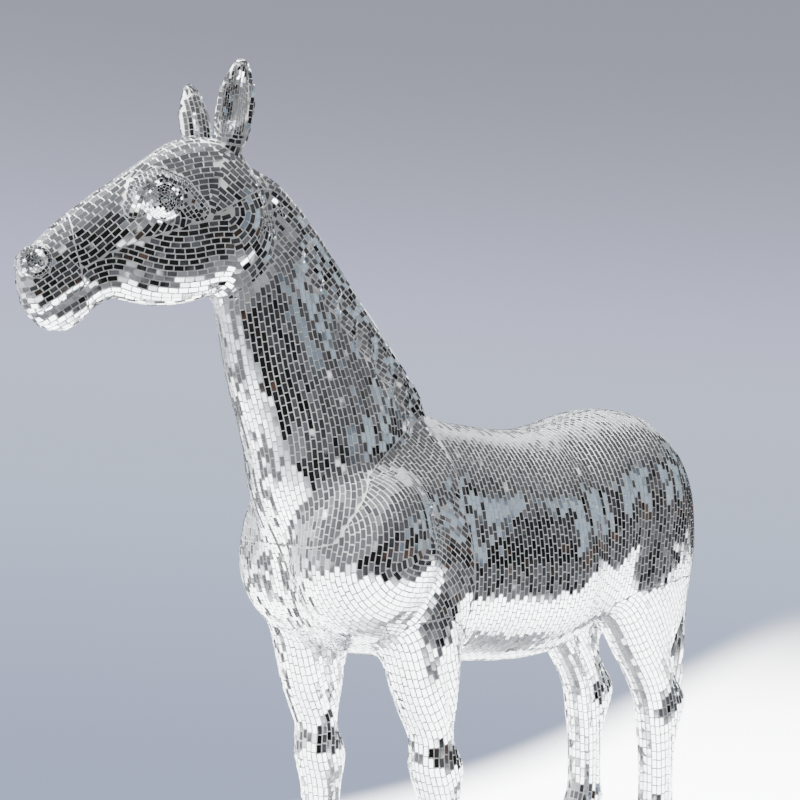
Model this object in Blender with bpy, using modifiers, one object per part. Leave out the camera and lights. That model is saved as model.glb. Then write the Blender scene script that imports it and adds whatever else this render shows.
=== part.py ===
"""A standing horse, cast in fibreglass for a mirror mosaic, on a low base plate.

Metres, +Z up. The horse looks along -X and its left side faces -Y. The origin is the
centre of the base plate's underside. The horse is drawn in its own unit, a hundredth of
its height at the withers: "forward" along its nose, "side" to its right, and "up" from
its soles. It is drawn with a straight neck, and the neck is turned at the end.
"""

import math

import bmesh
import bpy
import numpy as np

# Driving dimensions, in metres
WITHERS_HEIGHT = 1.18
BASE_END_MARGIN = 0.093
BASE_SIDE_MARGIN = 0.066
BASE_THICKNESS = 0.030
BASE_CORNER_RADIUS = 0.060
BASE_EDGE_ROUND = 0.004
SOLE_GAP = 0.0003

# How finely the casting is made; the voxel is in the horse's unit
VOXEL = 0.636
RING_POINTS = 40
STEPS_PER_ROW = 4
CASTING_TRIANGLES = 9400
BODY_SMOOTHING = 110
LEG_SMOOTHING_SHARE = 0.15
HEAD_SMOOTHING = 2
CORNER_POINTS = 7
MANE_WIDTH = 9
HEAD_CARE = 0.9
MANE_CARE = 0.4
CARE_FACTOR = 0.004

# The horse's unit, and the point between its hooves that stands over the base's centre
UNIT = WITHERS_HEIGHT / 100
STANDS_AT = 8.5

# The turn of the neck to the horse's right: its angle, and where it starts and ends
NECK_TURN = math.radians(20)
TURN_START = 40
TURN_END = 88

# Each row is one cross-section, seen from the side: the two ends of its centre line
# (forward, up, forward, up), its half width, and how much wider it is towards its first
# end (its egg, a share of the half width).
TRUNK = [
    (59.0, 74, 59.0, 66, 9, 0),
    (57.5, 79, 57.5, 61, 16, 0),
    (53.5, 85.5, 53.5, 56, 20.5, -0.05),
    (47.0, 92, 47.0, 53, 22.5, -0.08),
    (38.0, 98, 38.0, 51.5, 21.0, -0.12),
    (28.0, 99.5, 28.0, 50.0, 20.0, -0.16),
    (18.0, 99.0, 18.0, 49.0, 20.5, -0.18),
    (8.0, 97.8, 8.0, 48.3, 22.0, -0.14),
    (-2.0, 98.0, -2.0, 48.8, 22.8, -0.10),
    (-12.0, 99.8, -12.0, 52, 22.0, -0.05),
    (-20.0, 102, -20.0, 57, 21.0, 0.0),
    (-28.0, 102.8, -28.0, 63, 20.5, 0.0),
    (-34.0, 101.0, -34.0, 67, 18.2, 0.0),
    (-38.4, 97.6, -38.4, 70, 14.8, 0.0),
    (-41.6, 92.5, -41.6, 74, 10.0, 0.0),
    (-43.4, 87, -43.4, 79, 5.5, 0.0),
]
NECK = [
    (17.5, 95.5, 46, 60, 13.5, -0.30),
    (26.0, 101, 56.6, 67, 15.6, -0.32),
    (32.8, 107.8, 63.2, 77, 14.4, -0.34),
    (38.5, 114.9, 66.5, 85, 12.4, -0.36),
    (44.2, 122.3, 67.9, 92, 9.9, -0.36),
    (49.4, 128.9, 70.2, 99.5, 8.3, -0.34),
    (55.2, 136.1, 72.4, 107, 7.3, -0.30),
    (60.8, 142.2, 73.8, 114.5, 6.5, -0.24),
    (66.0, 146.4, 75.2, 121, 5.9, -0.18),
    (70.5, 148.3, 77.5, 127, 5.2, -0.1),
]
HEAD = [
    (67.0, 140.5, 67.0, 134.5, 5.8, 0.0),
    (68.2, 146.0, 69.3, 128.8, 7.5, 0.0),
    (71.0, 150.3, 73.0, 124.9, 8.2, 0.0),
    (75.0, 152.6, 77.5, 122.4, 8.2, 0.0),
    (80.0, 152.9, 82.0, 121.2, 7.9, 0.05),
    (85.0, 151.2, 86.5, 120.8, 7.3, 0.10),
    (89.5, 147.9, 91.0, 121.3, 6.4, 0.10),
    (94.5, 144.2, 95.0, 121.9, 5.5, 0.08),
    (99.7, 140.4, 98.6, 119.6, 5.0, 0.05),
    (104.8, 136.1, 101.7, 116.6, 4.9, 0.0),
    (108.4, 132.6, 104.7, 115.6, 5.0, -0.05),
    (111.0, 129.3, 108.2, 116.6, 4.7, -0.05),
    (112.4, 126.0, 111.2, 120.2, 3.0, 0.0),
]
FORE_LEG = [
    (50.0, 66, 28.5, 66, 7.0, 0),
    (48.6, 60, 28.4, 60, 7.4, 0),
    (46.2, 52, 29.4, 52, 6.5, 0),
    (43.4, 44, 30.4, 44, 5.6, 0),
    (41.0, 39, 31.0, 39, 4.8, 0),
    (39.7, 36, 31.2, 36, 4.4, 0),
    (39.8, 33.2, 29.8, 33.2, 4.9, 0),
    (39.7, 30.6, 28.8, 30.6, 5.2, 0),
    (38.8, 27.4, 28.8, 27.4, 4.8, 0),
    (37.8, 23.5, 29.2, 23.5, 4.0, 0),
    (37.4, 17, 29.3, 17, 3.6, 0),
    (37.8, 13, 28.8, 13, 3.8, 0),
    (38.3, 10.4, 28.3, 10.4, 4.3, 0),
    (39.0, 8.2, 29.8, 8.0, 3.9, 0),
    (40.4, 5.8, 31.2, 5.4, 4.2, 0),
    (42.0, 3.4, 31.2, 3.0, 5.0, 0),
    (43.6, 0, 30.8, 0, 5.6, 0),
    (43.0, -2.5, 31.4, -2.5, 5.0, 0),
]
HIND_LEG = [
    (-22, 88, -39.5, 88, 6, 0),
    (-18.5, 80, -42.0, 80, 9.0, 0),
    (-14.0, 70, -43.0, 70, 9.0, 0),
    (-13.0, 63, -42.0, 63, 8.0, 0),
    (-15.2, 57, -41.0, 57, 6.8, 0),
    (-18.6, 52, -38.6, 52, 5.8, 0),
    (-22.0, 47, -37.0, 47, 5.0, 0),
    (-25.2, 42.5, -38.4, 42.5, 4.6, 0),
    (-27.0, 39, -40.6, 39, 4.4, 0),
    (-28.0, 36.3, -41.6, 36.6, 4.5, 0),
    (-28.5, 33.3, -40.4, 33.3, 4.5, 0),
    (-28.9, 29.8, -38.8, 29.8, 4.2, 0),
    (-29.2, 25.5, -38.0, 25.5, 3.7, 0),
    (-29.2, 17.5, -37.6, 17.5, 3.4, 0),
    (-28.9, 13.2, -37.9, 13.2, 3.6, 0),
    (-28.0, 10.4, -38.2, 10.4, 4.2, 0),
    (-27.0, 8.2, -36.4, 8.0, 3.8, 0),
    (-25.6, 5.8, -35.0, 5.4, 4.0, 0),
    (-24.2, 3.4, -34.8, 3.0, 4.8, 0),
    (-22.8, 0, -35.0, 0, 5.3, 0),
    (-23.4, -2.5, -34.4, -2.5, 4.7, 0),
]
TAIL = [
    (-40.5, 99, -40.5, 92.0, 3.0, 0),
    (-45.5, 97.0, -43.5, 91.0, 3.2, 0),
    (-49.8, 91.5, -45.0, 87.5, 3.6, 0),
    (-52.4, 83.0, -46.0, 81.0, 4.1, 0),
    (-53.8, 73.0, -46.8, 72.0, 4.5, 0),
    (-54.4, 63.0, -47.0, 63.0, 4.7, 0),
    (-54.4, 52.0, -47.2, 52.0, 4.5, 0),
    (-54.0, 42.0, -47.6, 42.0, 3.8, 0),
    (-53.4, 34.0, -49.0, 34.0, 2.6, 0),
    (-52.4, 30.0, -50.6, 30.0, 1.2, 0),
]

# Where the legs stand, to either side, and how far each leans forward: at its hoof and
# where it joins the body
FORE_SPREAD = 14.2
HIND_SPREAD = 12.0
LEFT_FORE_LEAN = (0, 0)
RIGHT_FORE_LEAN = (9, 6)
LEFT_HIND_LEAN = (0, 0)
RIGHT_HIND_LEAN = (-2, -2)
LEG_TOP = 60

# The muscles on each side: centre (forward, side, up), half sizes, tilt in side view
MUSCLES = [
    ((49.0, 11.4, 73.6), (13.8, 15.6, 17.4), -6),
    ((38, 10.5, 78), (11, 10.0, 17), -38),
    ((30, 13.4, 69), (9.5, 7.8, 15), 15),
    ((-28.5, 11.6, 80), (14, 10.6, 19), 8),
    ((-18, 13.5, 66), (7, 6.2, 10), 25),
]

# Ears: the middle of the root, the tip, and the way the hollow faces (forward, side)
LEFT_EAR = ((73.6, -4.6, 149.5), (71.8, -6.4, 167.6), (0.34, -0.94))
RIGHT_EAR = ((76.5, 4.6, 149.5), (78.2, 6.0, 164.4), (0.34, 0.94))
EAR_HALF_WIDTH = 3.6
EAR_HALF_DEPTH = 2.3

# The strokes of the modelling tool on both flanks: (path in side view), width, height
STROKES = [
    ([(99.6, 123.6), (102.6, 121.7), (105.6, 119.6), (108.4, 118.0), (112, 117.0)], 0.9, -1.25),
    ([(96.5, 131), (98.5, 126.5)], 5.0, -0.7),
    ([(88.5, 134.5), (93, 133.4), (98, 133.0)], 1.8, 0.3),
    ([(80.0, 147.0), (78.0, 143.0)], 3.0, -0.6),
    ([(97, 123.6), (90, 122.8), (82, 122.8), (75, 124.5)], 1.2, 0.3),
    ([(73, 123.0), (69.0, 126.3), (65.4, 130.6), (63.9, 135), (64.6, 140.5), (66.6, 146)], 1.6, -1.0),
    ([(60, 76), (57.5, 80.5), (52, 88.5), (45.4, 93.0), (39, 97), (30, 101)], 2.6, -0.9),
    ([(31.0, 84), (29.5, 76), (29.0, 66), (30.5, 58)], 4.0, -0.6),
    ([(41.5, 80), (41.0, 73), (42.5, 66), (46, 61.0)], 3.0, -0.5),
    ([(-6.8, 92), (-7.5, 86), (-8.7, 78.4), (-9.0, 69.9), (-8.5, 62)], 4.6, -1.1),
    ([(-31, 76), (-34.5, 63), (-33, 52)], 3.4, -0.4),
]
FORE_LEG_STROKES = [
    ([(32.2, 25), (31.8, 14)], 0.9, -0.6),
    ([(36.4, 52), (33.8, 40)], 1.4, -0.6),
    ([(39.5, 9.6), (30.5, 9.4)], 0.8, 0.2),
    ([(43, 6.0), (30.5, 5.2)], 0.7, -0.45),
]
HIND_LEG_STROKES = [
    ([(-35.4, 31), (-34.8, 14)], 0.9, -0.6),
    ([(-34.5, 52), (-37.0, 40)], 1.2, -0.9),
    ([(-23.5, 6.0), (-36, 5.2)], 0.7, -0.45),
]

# The flutes of the tail: how deep, how many round it, and how much and how often they sway
TAIL_FLUTE = 0.45
TAIL_FLUTES = 8
FLUTE_SWAY = 1.1
FLUTE_SWAY_LENGTH = 6.0

# The left eye, and its lid and brow beside it, each offset (forward, out, up) from it
EYE = (86.4, 6.4, 139.4)
EYE_RADII = (3.7, 2.6, 3.4)
LID = [(5.0, 0.2, -0.8), (4.0, 1.0, 2.6), (0.8, 1.7, 4.2), (-3.0, 1.7, 2.6), (-6.0, 1.2, -1.2)]
LID_RADII = [0.6, 1.0, 1.1, 1.05, 0.7]
BROW = (1.2, -1.7, 5.0)
BROW_RADII = (6.0, 2.9, 3.4)
BROW_TILT = 38

# The left nostril: its middle, the half sizes of its rim (forward, out, up), the rim's
# own radius, how deep it sinks, and where the sinking starts and is full
NOSTRIL = (109.6, 4.2, 128.0)
NOSTRIL_RIM = (2.0, -0.5, 2.3)
RIM_RADIUS = 0.8
RIM_POINTS = 13
NOSTRIL_DEPTH = 1.6
NOSTRIL_MOUTH = 1.9
NOSTRIL_FLOOR = 0.8

# The locks of the mane on each side: where the first and last start, as a share of the
# neck from its root, their length as such a share, how far round the neck they reach
# and how much they wave, both in degrees, and their thickness along their length
MANE_LOCKS = 8
FIRST_LOCK = 0.97
LAST_LOCK = 0.40
LOCK_LENGTH = 0.30
LOCK_START = 20
LOCK_DROP = 38
LOCK_WAVE = 7
LOCK_RADII = [0.8, 1.6, 2.1, 2.4, 2.4, 2.3, 2.0, 1.4, 0.6]

# Colours, as linear red, green and blue
MIRROR_COLOUR = (0.82, 0.84, 0.86)
LACQUER_COLOUR = (0.80, 0.80, 0.80)


def catmull_rom(rows, steps):
    """Rows read as points of a smooth curve through all of them, steps for each gap."""
    rows = np.array(rows, float)
    ahead = np.vstack([2 * rows[0] - rows[1], rows, 2 * rows[-1] - rows[-2]])
    p0, p1, p2, p3 = (p[:, None, :] for p in (ahead[:-3], ahead[1:-2], ahead[2:-1], ahead[3:]))
    t = (np.arange(steps) / steps)[None, :, None]
    curve = 0.5 * (
        2 * p1
        + (p2 - p0) * t
        + (2 * p0 - 5 * p1 + 4 * p2 - p3) * t**2
        + (3 * p1 - p0 - 3 * p2 + p3) * t**3
    )
    return np.vstack([curve.reshape(-1, rows.shape[1]), rows[-1:]])


def smooth_step(value, start, end):
    """0 before start, 1 after end, and an S between them."""
    t = np.clip((value - start) / (end - start), 0, 1)
    return t * t * (3 - 2 * t)


def round_square(squareness):
    """A ring as (along, across): a circle at squareness 2, nearer a square above it."""
    turn = np.linspace(0, 2 * math.pi, RING_POINTS, endpoint=False)
    along = np.sign(np.cos(turn)) * np.abs(np.cos(turn)) ** (2 / squareness)
    across = np.sign(np.sin(turn)) * np.abs(np.sin(turn)) ** (2 / squareness)
    return along, across


def section_rings(rows, side=0.0, squareness=2.2, lean=(0.0, 0.0)):
    """The rings of a loft through the rows, as (sections, points, 3)."""
    rows = catmull_rom(rows, STEPS_PER_ROW)
    along, across = round_square(squareness)
    first, second = rows[:, None, 0:2], rows[:, None, 2:4]
    in_side_view = (first + second) / 2 + (first - second) / 2 * along[None, :, None]
    width = rows[:, 4:5] * across * (1 + rows[:, 5:6] * along)
    rings = np.dstack([in_side_view[..., 0], side + width, in_side_view[..., 1]])
    rings[..., 0] += lean[0] + (lean[1] - lean[0]) * rings[..., 2] / LEG_TOP
    return rings


def tube_rings(path, radii):
    """Rings of the given radii carried along a path of (forward, side, up) points."""
    path = catmull_rom(path, STEPS_PER_ROW)
    radii = catmull_rom([(r,) for r in radii], STEPS_PER_ROW)
    ahead = np.gradient(path, axis=0)
    ahead /= np.linalg.norm(ahead, axis=1)[:, None]
    out = np.cross(ahead, np.cross([0.0, 1.0, 0.0], ahead))
    out /= np.linalg.norm(out, axis=1)[:, None]
    beside = np.cross(ahead, out)
    turn = np.linspace(0, 2 * math.pi, RING_POINTS // 2, endpoint=False)[None, :, None]
    ring = np.cos(turn) * out[:, None, :] + np.sin(turn) * beside[:, None, :]
    return path[:, None, :] + radii[:, None, :] * ring


def add_loft(shape, rings):
    """Skins the rings with quads and closes both ends."""
    skins = [[shape.verts.new(point) for point in ring] for ring in rings]
    count = len(skins[0])
    for near, far in zip(skins, skins[1:]):
        for i in range(count):
            j = (i + 1) % count
            shape.faces.new((near[i], near[j], far[j], far[i]))
    shape.faces.new(skins[0][::-1])
    shape.faces.new(skins[-1])


def add_ball(shape, centre, radii, tilt=0):
    """An ellipsoid, tilted in side view by that many degrees, its top going forward."""
    made = bmesh.ops.create_uvsphere(shape, u_segments=32, v_segments=20, radius=1)
    lean = math.radians(tilt)
    for vert in made["verts"]:
        forward, side, up = (r * x for r, x in zip(radii, vert.co))
        vert.co = (
            centre[0] + forward * math.cos(lean) + up * math.sin(lean),
            centre[1] + side,
            centre[2] - forward * math.sin(lean) + up * math.cos(lean),
        )


def add_ear(shape, root, tip, faces):
    """A leaf-shaped ear whose hollow faces the given way, from its root to its tip."""
    root, tip = np.array(root), np.array(tip)
    facing = np.array([faces[0], faces[1], 0.0])
    beside = np.array([-faces[1], faces[0], 0.0])
    share = np.linspace(0, 1, 15)
    width = EAR_HALF_WIDTH * np.sin(math.pi * (0.22 + 0.75 * share) ** 1.15) ** 0.7
    depth = EAR_HALF_DEPTH * width / EAR_HALF_WIDTH
    turn = np.linspace(0, 2 * math.pi, RING_POINTS, endpoint=False)
    hollow = 1.25 * np.exp(-((np.angle(np.exp(1j * turn)) / 0.75) ** 2))
    opened = smooth_step(share, 0.22, 0.40) * (1 - smooth_step(share, 0.72, 0.92))
    reach = np.cos(turn)[None, :] * (1 - opened[:, None] * hollow[None, :])
    centre = root + (tip - root) * share[:, None]
    rings = (
        centre[:, None, :]
        + (depth[:, None] * reach)[..., None] * facing
        + (width[:, None] * np.sin(turn)[None, :])[..., None] * beside
    )
    add_loft(shape, rings)


def mane_lock(start, side):
    """The path of one lock: along the neck's skin from the crest, then down its side."""
    rows = catmull_rom(NECK, STEPS_PER_ROW)
    share = np.linspace(0, 1, len(LOCK_RADII))
    place = start - LOCK_LENGTH * share
    index = np.clip(place * (len(rows) - 1), 0, len(rows) - 1)
    row = np.stack([np.interp(index, np.arange(len(rows)), rows[:, k]) for k in range(6)], 1)
    wave = LOCK_WAVE * np.sin(2.2 * math.pi * share)
    turn = np.radians(LOCK_START + LOCK_DROP * share**1.4 + wave)
    middle, reach = (row[:, 0:2] + row[:, 2:4]) / 2, (row[:, 0:2] - row[:, 2:4]) / 2
    skin = middle + reach * np.cos(turn)[:, None]
    width = row[:, 4] * np.sin(turn) * (1 + row[:, 5] * np.cos(turn))
    return np.column_stack([skin[:, 0], side * width, skin[:, 1]])


def body_shells():
    """The closed shells of trunk, neck, legs and muscles."""
    shape = bmesh.new()
    add_loft(shape, section_rings(TRUNK, squareness=2.25))
    add_loft(shape, section_rings(NECK, squareness=2.1))
    add_loft(shape, section_rings(FORE_LEG, -FORE_SPREAD, lean=LEFT_FORE_LEAN))
    add_loft(shape, section_rings(FORE_LEG, FORE_SPREAD, lean=RIGHT_FORE_LEAN))
    add_loft(shape, section_rings(HIND_LEG, -HIND_SPREAD, lean=LEFT_HIND_LEAN))
    add_loft(shape, section_rings(HIND_LEG, HIND_SPREAD, lean=RIGHT_HIND_LEAN))
    for side in (-1, 1):
        for centre, radii, tilt in MUSCLES:
            add_ball(shape, (centre[0], side * centre[1], centre[2]), radii, tilt)
    return shape


def head_shells(shape):
    """The closed shells of head, ears, eyes, lids, nostrils, mane and tail."""
    add_loft(shape, section_rings(HEAD, squareness=2.7))
    add_loft(shape, section_rings(TAIL))
    add_ear(shape, *LEFT_EAR)
    add_ear(shape, *RIGHT_EAR)
    round_rim = np.linspace(0, 2 * math.pi, RIM_POINTS)
    for side in (-1, 1):
        mirror = np.array([1, side, 1])
        eye, nostril = mirror * EYE, mirror * NOSTRIL
        add_ball(shape, eye, EYE_RADII)
        add_loft(shape, tube_rings([eye + mirror * offset for offset in LID], LID_RADII))
        add_ball(shape, eye + mirror * BROW, BROW_RADII, BROW_TILT)
        way = np.column_stack([np.cos(round_rim), np.cos(round_rim), np.sin(round_rim)])
        rim = nostril + mirror * NOSTRIL_RIM * way
        add_loft(shape, tube_rings(rim, [RIM_RADIUS] * RIM_POINTS))
        for start in np.linspace(FIRST_LOCK, LAST_LOCK, MANE_LOCKS):
            add_loft(shape, tube_rings(mane_lock(start, side), LOCK_RADII))


def distance_to(places, path):
    """How far each place is from a polyline, all in the same two dimensions."""
    path = np.array(path, float)
    nearest = np.full(len(places), np.inf)
    for start, end in zip(path, path[1:]):
        along = end - start
        share = np.clip((places - start) @ along / (along @ along), 0, 1)
        gap = np.linalg.norm(places - start - share[:, None] * along, axis=1)
        nearest = np.minimum(nearest, gap)
    return nearest


def stroke(points, normals, path, width, height, shift=0.0, sides=(-1, 1)):
    """One tool stroke on the flanks, drawn in side view: it raises the skin by height,
    or cuts it where height is negative, and fades over width to each side of its path."""
    near = distance_to(points[:, [0, 2]] - [shift, 0], path)
    flank = smooth_step(np.abs(normals[:, 1]), 0.2, 0.6)
    there = np.isin(np.sign(points[:, 1]), sides)
    amount = height * np.exp(-((near / width) ** 2)) * flank * there
    points += normals * amount[:, None]


def flute_tail(points, normals):
    """Long shallow flutes down the tail, deepest at mid length."""
    rows = catmull_rom(TAIL, STEPS_PER_ROW)
    up = (rows[:, 1] + rows[:, 3])[::-1] / 2
    axis = np.interp(points[:, 2], up, (rows[:, 0] + rows[:, 2])[::-1] / 2)
    around = np.arctan2(points[:, 1], points[:, 0] - axis)
    free = smooth_step(-points[:, 0], 46, 49) * smooth_step(np.abs(points[:, 1]), 7, 5.5)
    free *= smooth_step(points[:, 2], 29, 40) * smooth_step(points[:, 2], 98, 88)
    sway = FLUTE_SWAY * np.sin(points[:, 2] / FLUTE_SWAY_LENGTH)
    wave = np.cos(TAIL_FLUTES * around + sway)
    points += normals * (TAIL_FLUTE * wave * free)[:, None]


def sink_nostrils(points, normals):
    """Pushes the skin in, straight sideways, inside the rim of each nostril."""
    away = np.hypot(points[:, 0] - NOSTRIL[0], points[:, 2] - NOSTRIL[2])
    inside = smooth_step(-away, -NOSTRIL_MOUTH, -NOSTRIL_FLOOR) * (np.abs(normals[:, 1]) > 0.2)
    points[:, 1] -= np.sign(points[:, 1]) * NOSTRIL_DEPTH * inside


def turn_neck(points):
    """Bends straight-necked points to the right: the heading swings by NECK_TURN as an
    S between the start and the end of the turn, and each point keeps its distance from
    the centre line."""
    forward = np.linspace(-120, 160, 2801)
    heading = NECK_TURN * smooth_step(forward, TURN_START, TURN_END)
    step = forward[1] - forward[0]
    line = np.concatenate([[0], np.cumsum(np.cos(heading[:-1]) * step)])
    drift = np.concatenate([[0], np.cumsum(np.sin(heading[:-1]) * step)])
    line -= np.interp(0, forward, line)
    drift -= np.interp(0, forward, drift)
    at_line = np.interp(points[:, 0], forward, line)
    at_drift = np.interp(points[:, 0], forward, drift)
    swing = np.interp(points[:, 0], forward, heading)
    bent = points.copy()
    bent[:, 0] = at_line - points[:, 1] * np.sin(swing)
    bent[:, 1] = at_drift + points[:, 1] * np.cos(swing)
    return bent


def to_world(points):
    """The horse's own units, forward, side and up, as metres in the part's frame. What
    reaches below the soles is pressed flat onto them."""
    return np.column_stack([
        (STANDS_AT - points[:, 0]) * UNIT,
        points[:, 1] * UNIT,
        np.maximum(points[:, 2], 0) * UNIT + BASE_THICKNESS + SOLE_GAP,
    ])


def evaluated_mesh(obj):
    graph = bpy.context.evaluated_depsgraph_get()
    return bpy.data.meshes.new_from_object(obj.evaluated_get(graph))


def weigh(obj, name, weights):
    """A vertex group of the given name with one weight for each vertex."""
    group = obj.vertex_groups.new(name=name)
    for level in np.unique(weights.round(2)):
        chosen = np.flatnonzero(weights.round(2) == level)
        group.add(chosen.tolist(), float(level), "REPLACE")


def mesh_points(mesh, kind="co"):
    values = np.empty(len(mesh.vertices) * 3)
    mesh.vertices.foreach_get(kind, values)
    return values.reshape(-1, 3)


def fused(shape, name):
    """The shells of a bmesh as one closed object, still in the horse's units."""
    bmesh.ops.recalc_face_normals(shape, faces=shape.faces)
    mesh = bpy.data.meshes.new(name + "_shells")
    shape.to_mesh(mesh)
    shape.free()
    obj = bpy.data.objects.new(name, mesh)
    bpy.context.scene.collection.objects.link(obj)
    remesh = obj.modifiers.new("fuse", "REMESH")
    remesh.mode = "VOXEL"
    remesh.voxel_size = VOXEL
    whole = evaluated_mesh(obj)
    obj.modifiers.remove(remesh)
    obj.data = whole
    return obj


def soften(obj, passes, weights):
    """Smooths the object by that many passes, as much as each vertex's weight says."""
    weigh(obj, "soft", weights)
    smooth = obj.modifiers.new("soften", "SMOOTH")
    smooth.factor = 0.5
    smooth.iterations = passes
    smooth.vertex_group = "soft"
    soft = evaluated_mesh(obj)
    bpy.data.objects.remove(obj)
    return soft


def carve(mesh):
    """Tools the fused casting, turns its neck and puts it in its place, in metres."""
    points, normals = mesh_points(mesh), mesh_points(mesh, "normal")
    for path, width, height in STROKES:
        stroke(points, normals, path, width, height)
    for strokes, left, right in (
        (FORE_LEG_STROKES, LEFT_FORE_LEAN, RIGHT_FORE_LEAN),
        (HIND_LEG_STROKES, LEFT_HIND_LEAN, RIGHT_HIND_LEAN),
    ):
        for path, width, height in strokes:
            stroke(points, normals, path, width, height, left[0], (-1,))
            stroke(points, normals, path, width, height, right[0], (1,))
    flute_tail(points, normals)
    sink_nostrils(points, normals)
    mesh.vertices.foreach_set("co", to_world(turn_neck(points)).ravel())
    mesh.flip_normals()
    mesh.update()


def make_material(name, colour, metallic, roughness):
    material = bpy.data.materials.new(name)
    material.use_nodes = True
    shader = material.node_tree.nodes["Principled BSDF"]
    shader.inputs["Base Color"].default_value = (*colour, 1)
    shader.inputs["Metallic"].default_value = metallic
    shader.inputs["Roughness"].default_value = roughness
    return material


def make_horse(collection):
    body = fused(body_shells(), "body")
    up = mesh_points(body.data)[:, 2]
    legs = 1 - smooth_step(up, 44, 62)
    body = soften(body, BODY_SMOOTHING, 1 - (1 - LEG_SMOOTHING_SHARE) * legs)
    shape = bmesh.new()
    shape.from_mesh(body)
    head_shells(shape)
    whole = fused(shape, "whole")
    mesh = soften(whole, HEAD_SMOOTHING, np.ones(len(whole.data.vertices)))
    drawn = mesh_points(mesh)
    carve(mesh)
    horse = bpy.data.objects.new("horse", mesh)
    collection.objects.link(horse)
    head = smooth_step(drawn[:, 0], 60, 64) * smooth_step(drawn[:, 2], 112, 118)
    crest = [row[:2] for row in NECK]
    mane = 1 - smooth_step(distance_to(drawn[:, [0, 2]], crest), MANE_WIDTH - 1, MANE_WIDTH + 1)
    weigh(horse, "plain", 1 - np.maximum(HEAD_CARE * head, MANE_CARE * mane))
    thin = horse.modifiers.new("facets", "DECIMATE")
    thin.ratio = CASTING_TRIANGLES / (2 * len(mesh.polygons))
    thin.vertex_group = "plain"
    thin.vertex_group_factor = CARE_FACTOR
    mesh.materials.append(make_material("mirror_mosaic", MIRROR_COLOUR, 1.0, 0.08))
    mesh.shade_smooth()
    return horse


def base_half_sizes():
    """Half the plate's length and width: the reach of the hooves, and the margins."""
    toe = FORE_LEG[-2][0] + max(LEFT_FORE_LEAN[0], RIGHT_FORE_LEAN[0]) - STANDS_AT
    heel = STANDS_AT - HIND_LEG[-2][2] - min(LEFT_HIND_LEAN[0], RIGHT_HIND_LEAN[0])
    outside = max(FORE_SPREAD + FORE_LEG[-2][4], HIND_SPREAD + HIND_LEG[-2][4])
    return max(toe, heel) * UNIT + BASE_END_MARGIN, outside * UNIT + BASE_SIDE_MARGIN


def make_base_plate(collection):
    """A rectangle with round corners, as thick as the plate, its edges eased."""
    outline = bpy.data.curves.new("base_outline", "CURVE")
    outline.dimensions = "2D"
    outline.fill_mode = "BOTH"
    outline.extrude = BASE_THICKNESS / 2
    half_length, half_width = base_half_sizes()
    middle = np.array([half_length - BASE_CORNER_RADIUS, half_width - BASE_CORNER_RADIUS])
    ways = [(1, 1), (-1, 1), (-1, -1), (1, -1)]
    corners = []
    for quarter, way in enumerate(ways):
        swing = np.radians(90 * quarter + np.linspace(0, 90, CORNER_POINTS))
        turned = np.column_stack([np.cos(swing), np.sin(swing)])
        corners.extend(middle * way + BASE_CORNER_RADIUS * turned)
    spline = outline.splines.new("POLY")
    spline.points.add(len(corners) - 1)
    for point, (x, y) in zip(spline.points, corners):
        point.co = (x, y, 0, 1)
    spline.use_cyclic_u = True
    plate = bpy.data.objects.new("base_plate", outline)
    plate.location.z = BASE_THICKNESS / 2
    collection.objects.link(plate)
    outline.materials.append(make_material("base_lacquer", LACQUER_COLOUR, 0.0, 0.35))
    weld = plate.modifiers.new("close caps", "WELD")
    weld.merge_threshold = 0.0001
    ease = plate.modifiers.new("eased edges", "BEVEL")
    ease.width = BASE_EDGE_ROUND
    ease.segments = 2
    ease.limit_method = "ANGLE"
    ease.angle_limit = math.radians(60)
    return plate


def main():
    for old in list(bpy.data.objects):
        bpy.data.objects.remove(old)
    statue = bpy.data.collections.new("horse_statue")
    bpy.context.scene.collection.children.link(statue)
    make_base_plate(statue)
    make_horse(statue)


main()
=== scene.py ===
# %% [markdown]
# # A life-size horse in mirror mosaic
# The real object is a hollow fibreglass horse. Small strips of silvered glass are glued all
# over it by hand, and white grout fills the gaps. This lesson builds it in three layers: the
# smooth casting, the bed of grout on it, and some seventeen thousand separate mirror tiles.
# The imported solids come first, because every layer is fitted to them.

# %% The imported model
import math

import bpy
import numpy as np
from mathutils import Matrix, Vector
from mathutils.kdtree import KDTree


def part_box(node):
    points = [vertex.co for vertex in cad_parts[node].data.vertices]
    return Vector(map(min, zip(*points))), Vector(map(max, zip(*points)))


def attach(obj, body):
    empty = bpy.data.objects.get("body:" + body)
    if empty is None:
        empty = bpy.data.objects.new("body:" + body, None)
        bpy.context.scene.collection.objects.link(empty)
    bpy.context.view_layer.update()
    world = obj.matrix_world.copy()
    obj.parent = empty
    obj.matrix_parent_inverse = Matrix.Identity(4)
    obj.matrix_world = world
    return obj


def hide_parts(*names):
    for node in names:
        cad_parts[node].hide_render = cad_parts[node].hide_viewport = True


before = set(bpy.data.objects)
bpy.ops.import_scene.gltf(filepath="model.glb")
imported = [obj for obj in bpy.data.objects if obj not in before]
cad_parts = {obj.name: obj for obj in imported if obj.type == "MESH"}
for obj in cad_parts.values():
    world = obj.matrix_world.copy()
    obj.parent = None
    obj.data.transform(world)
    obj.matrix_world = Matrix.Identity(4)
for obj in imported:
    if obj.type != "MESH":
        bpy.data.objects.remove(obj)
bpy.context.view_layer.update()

BASE_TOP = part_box("base_plate")[1][2]
CASTING_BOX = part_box("horse")
print("base top at", round(BASE_TOP, 4), "m, casting", [round(v, 3) for v in CASTING_BOX[1]])

# %% [markdown]
# ## The horse's own unit
# A sculptor measures a horse by its withers, so everything here is drawn in hundredths of that
# height: forward along the nose, side to the horse's right, and up from the soles. The neck is
# drawn straight and turned at the end, because a straight neck is far easier to reason about.

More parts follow.
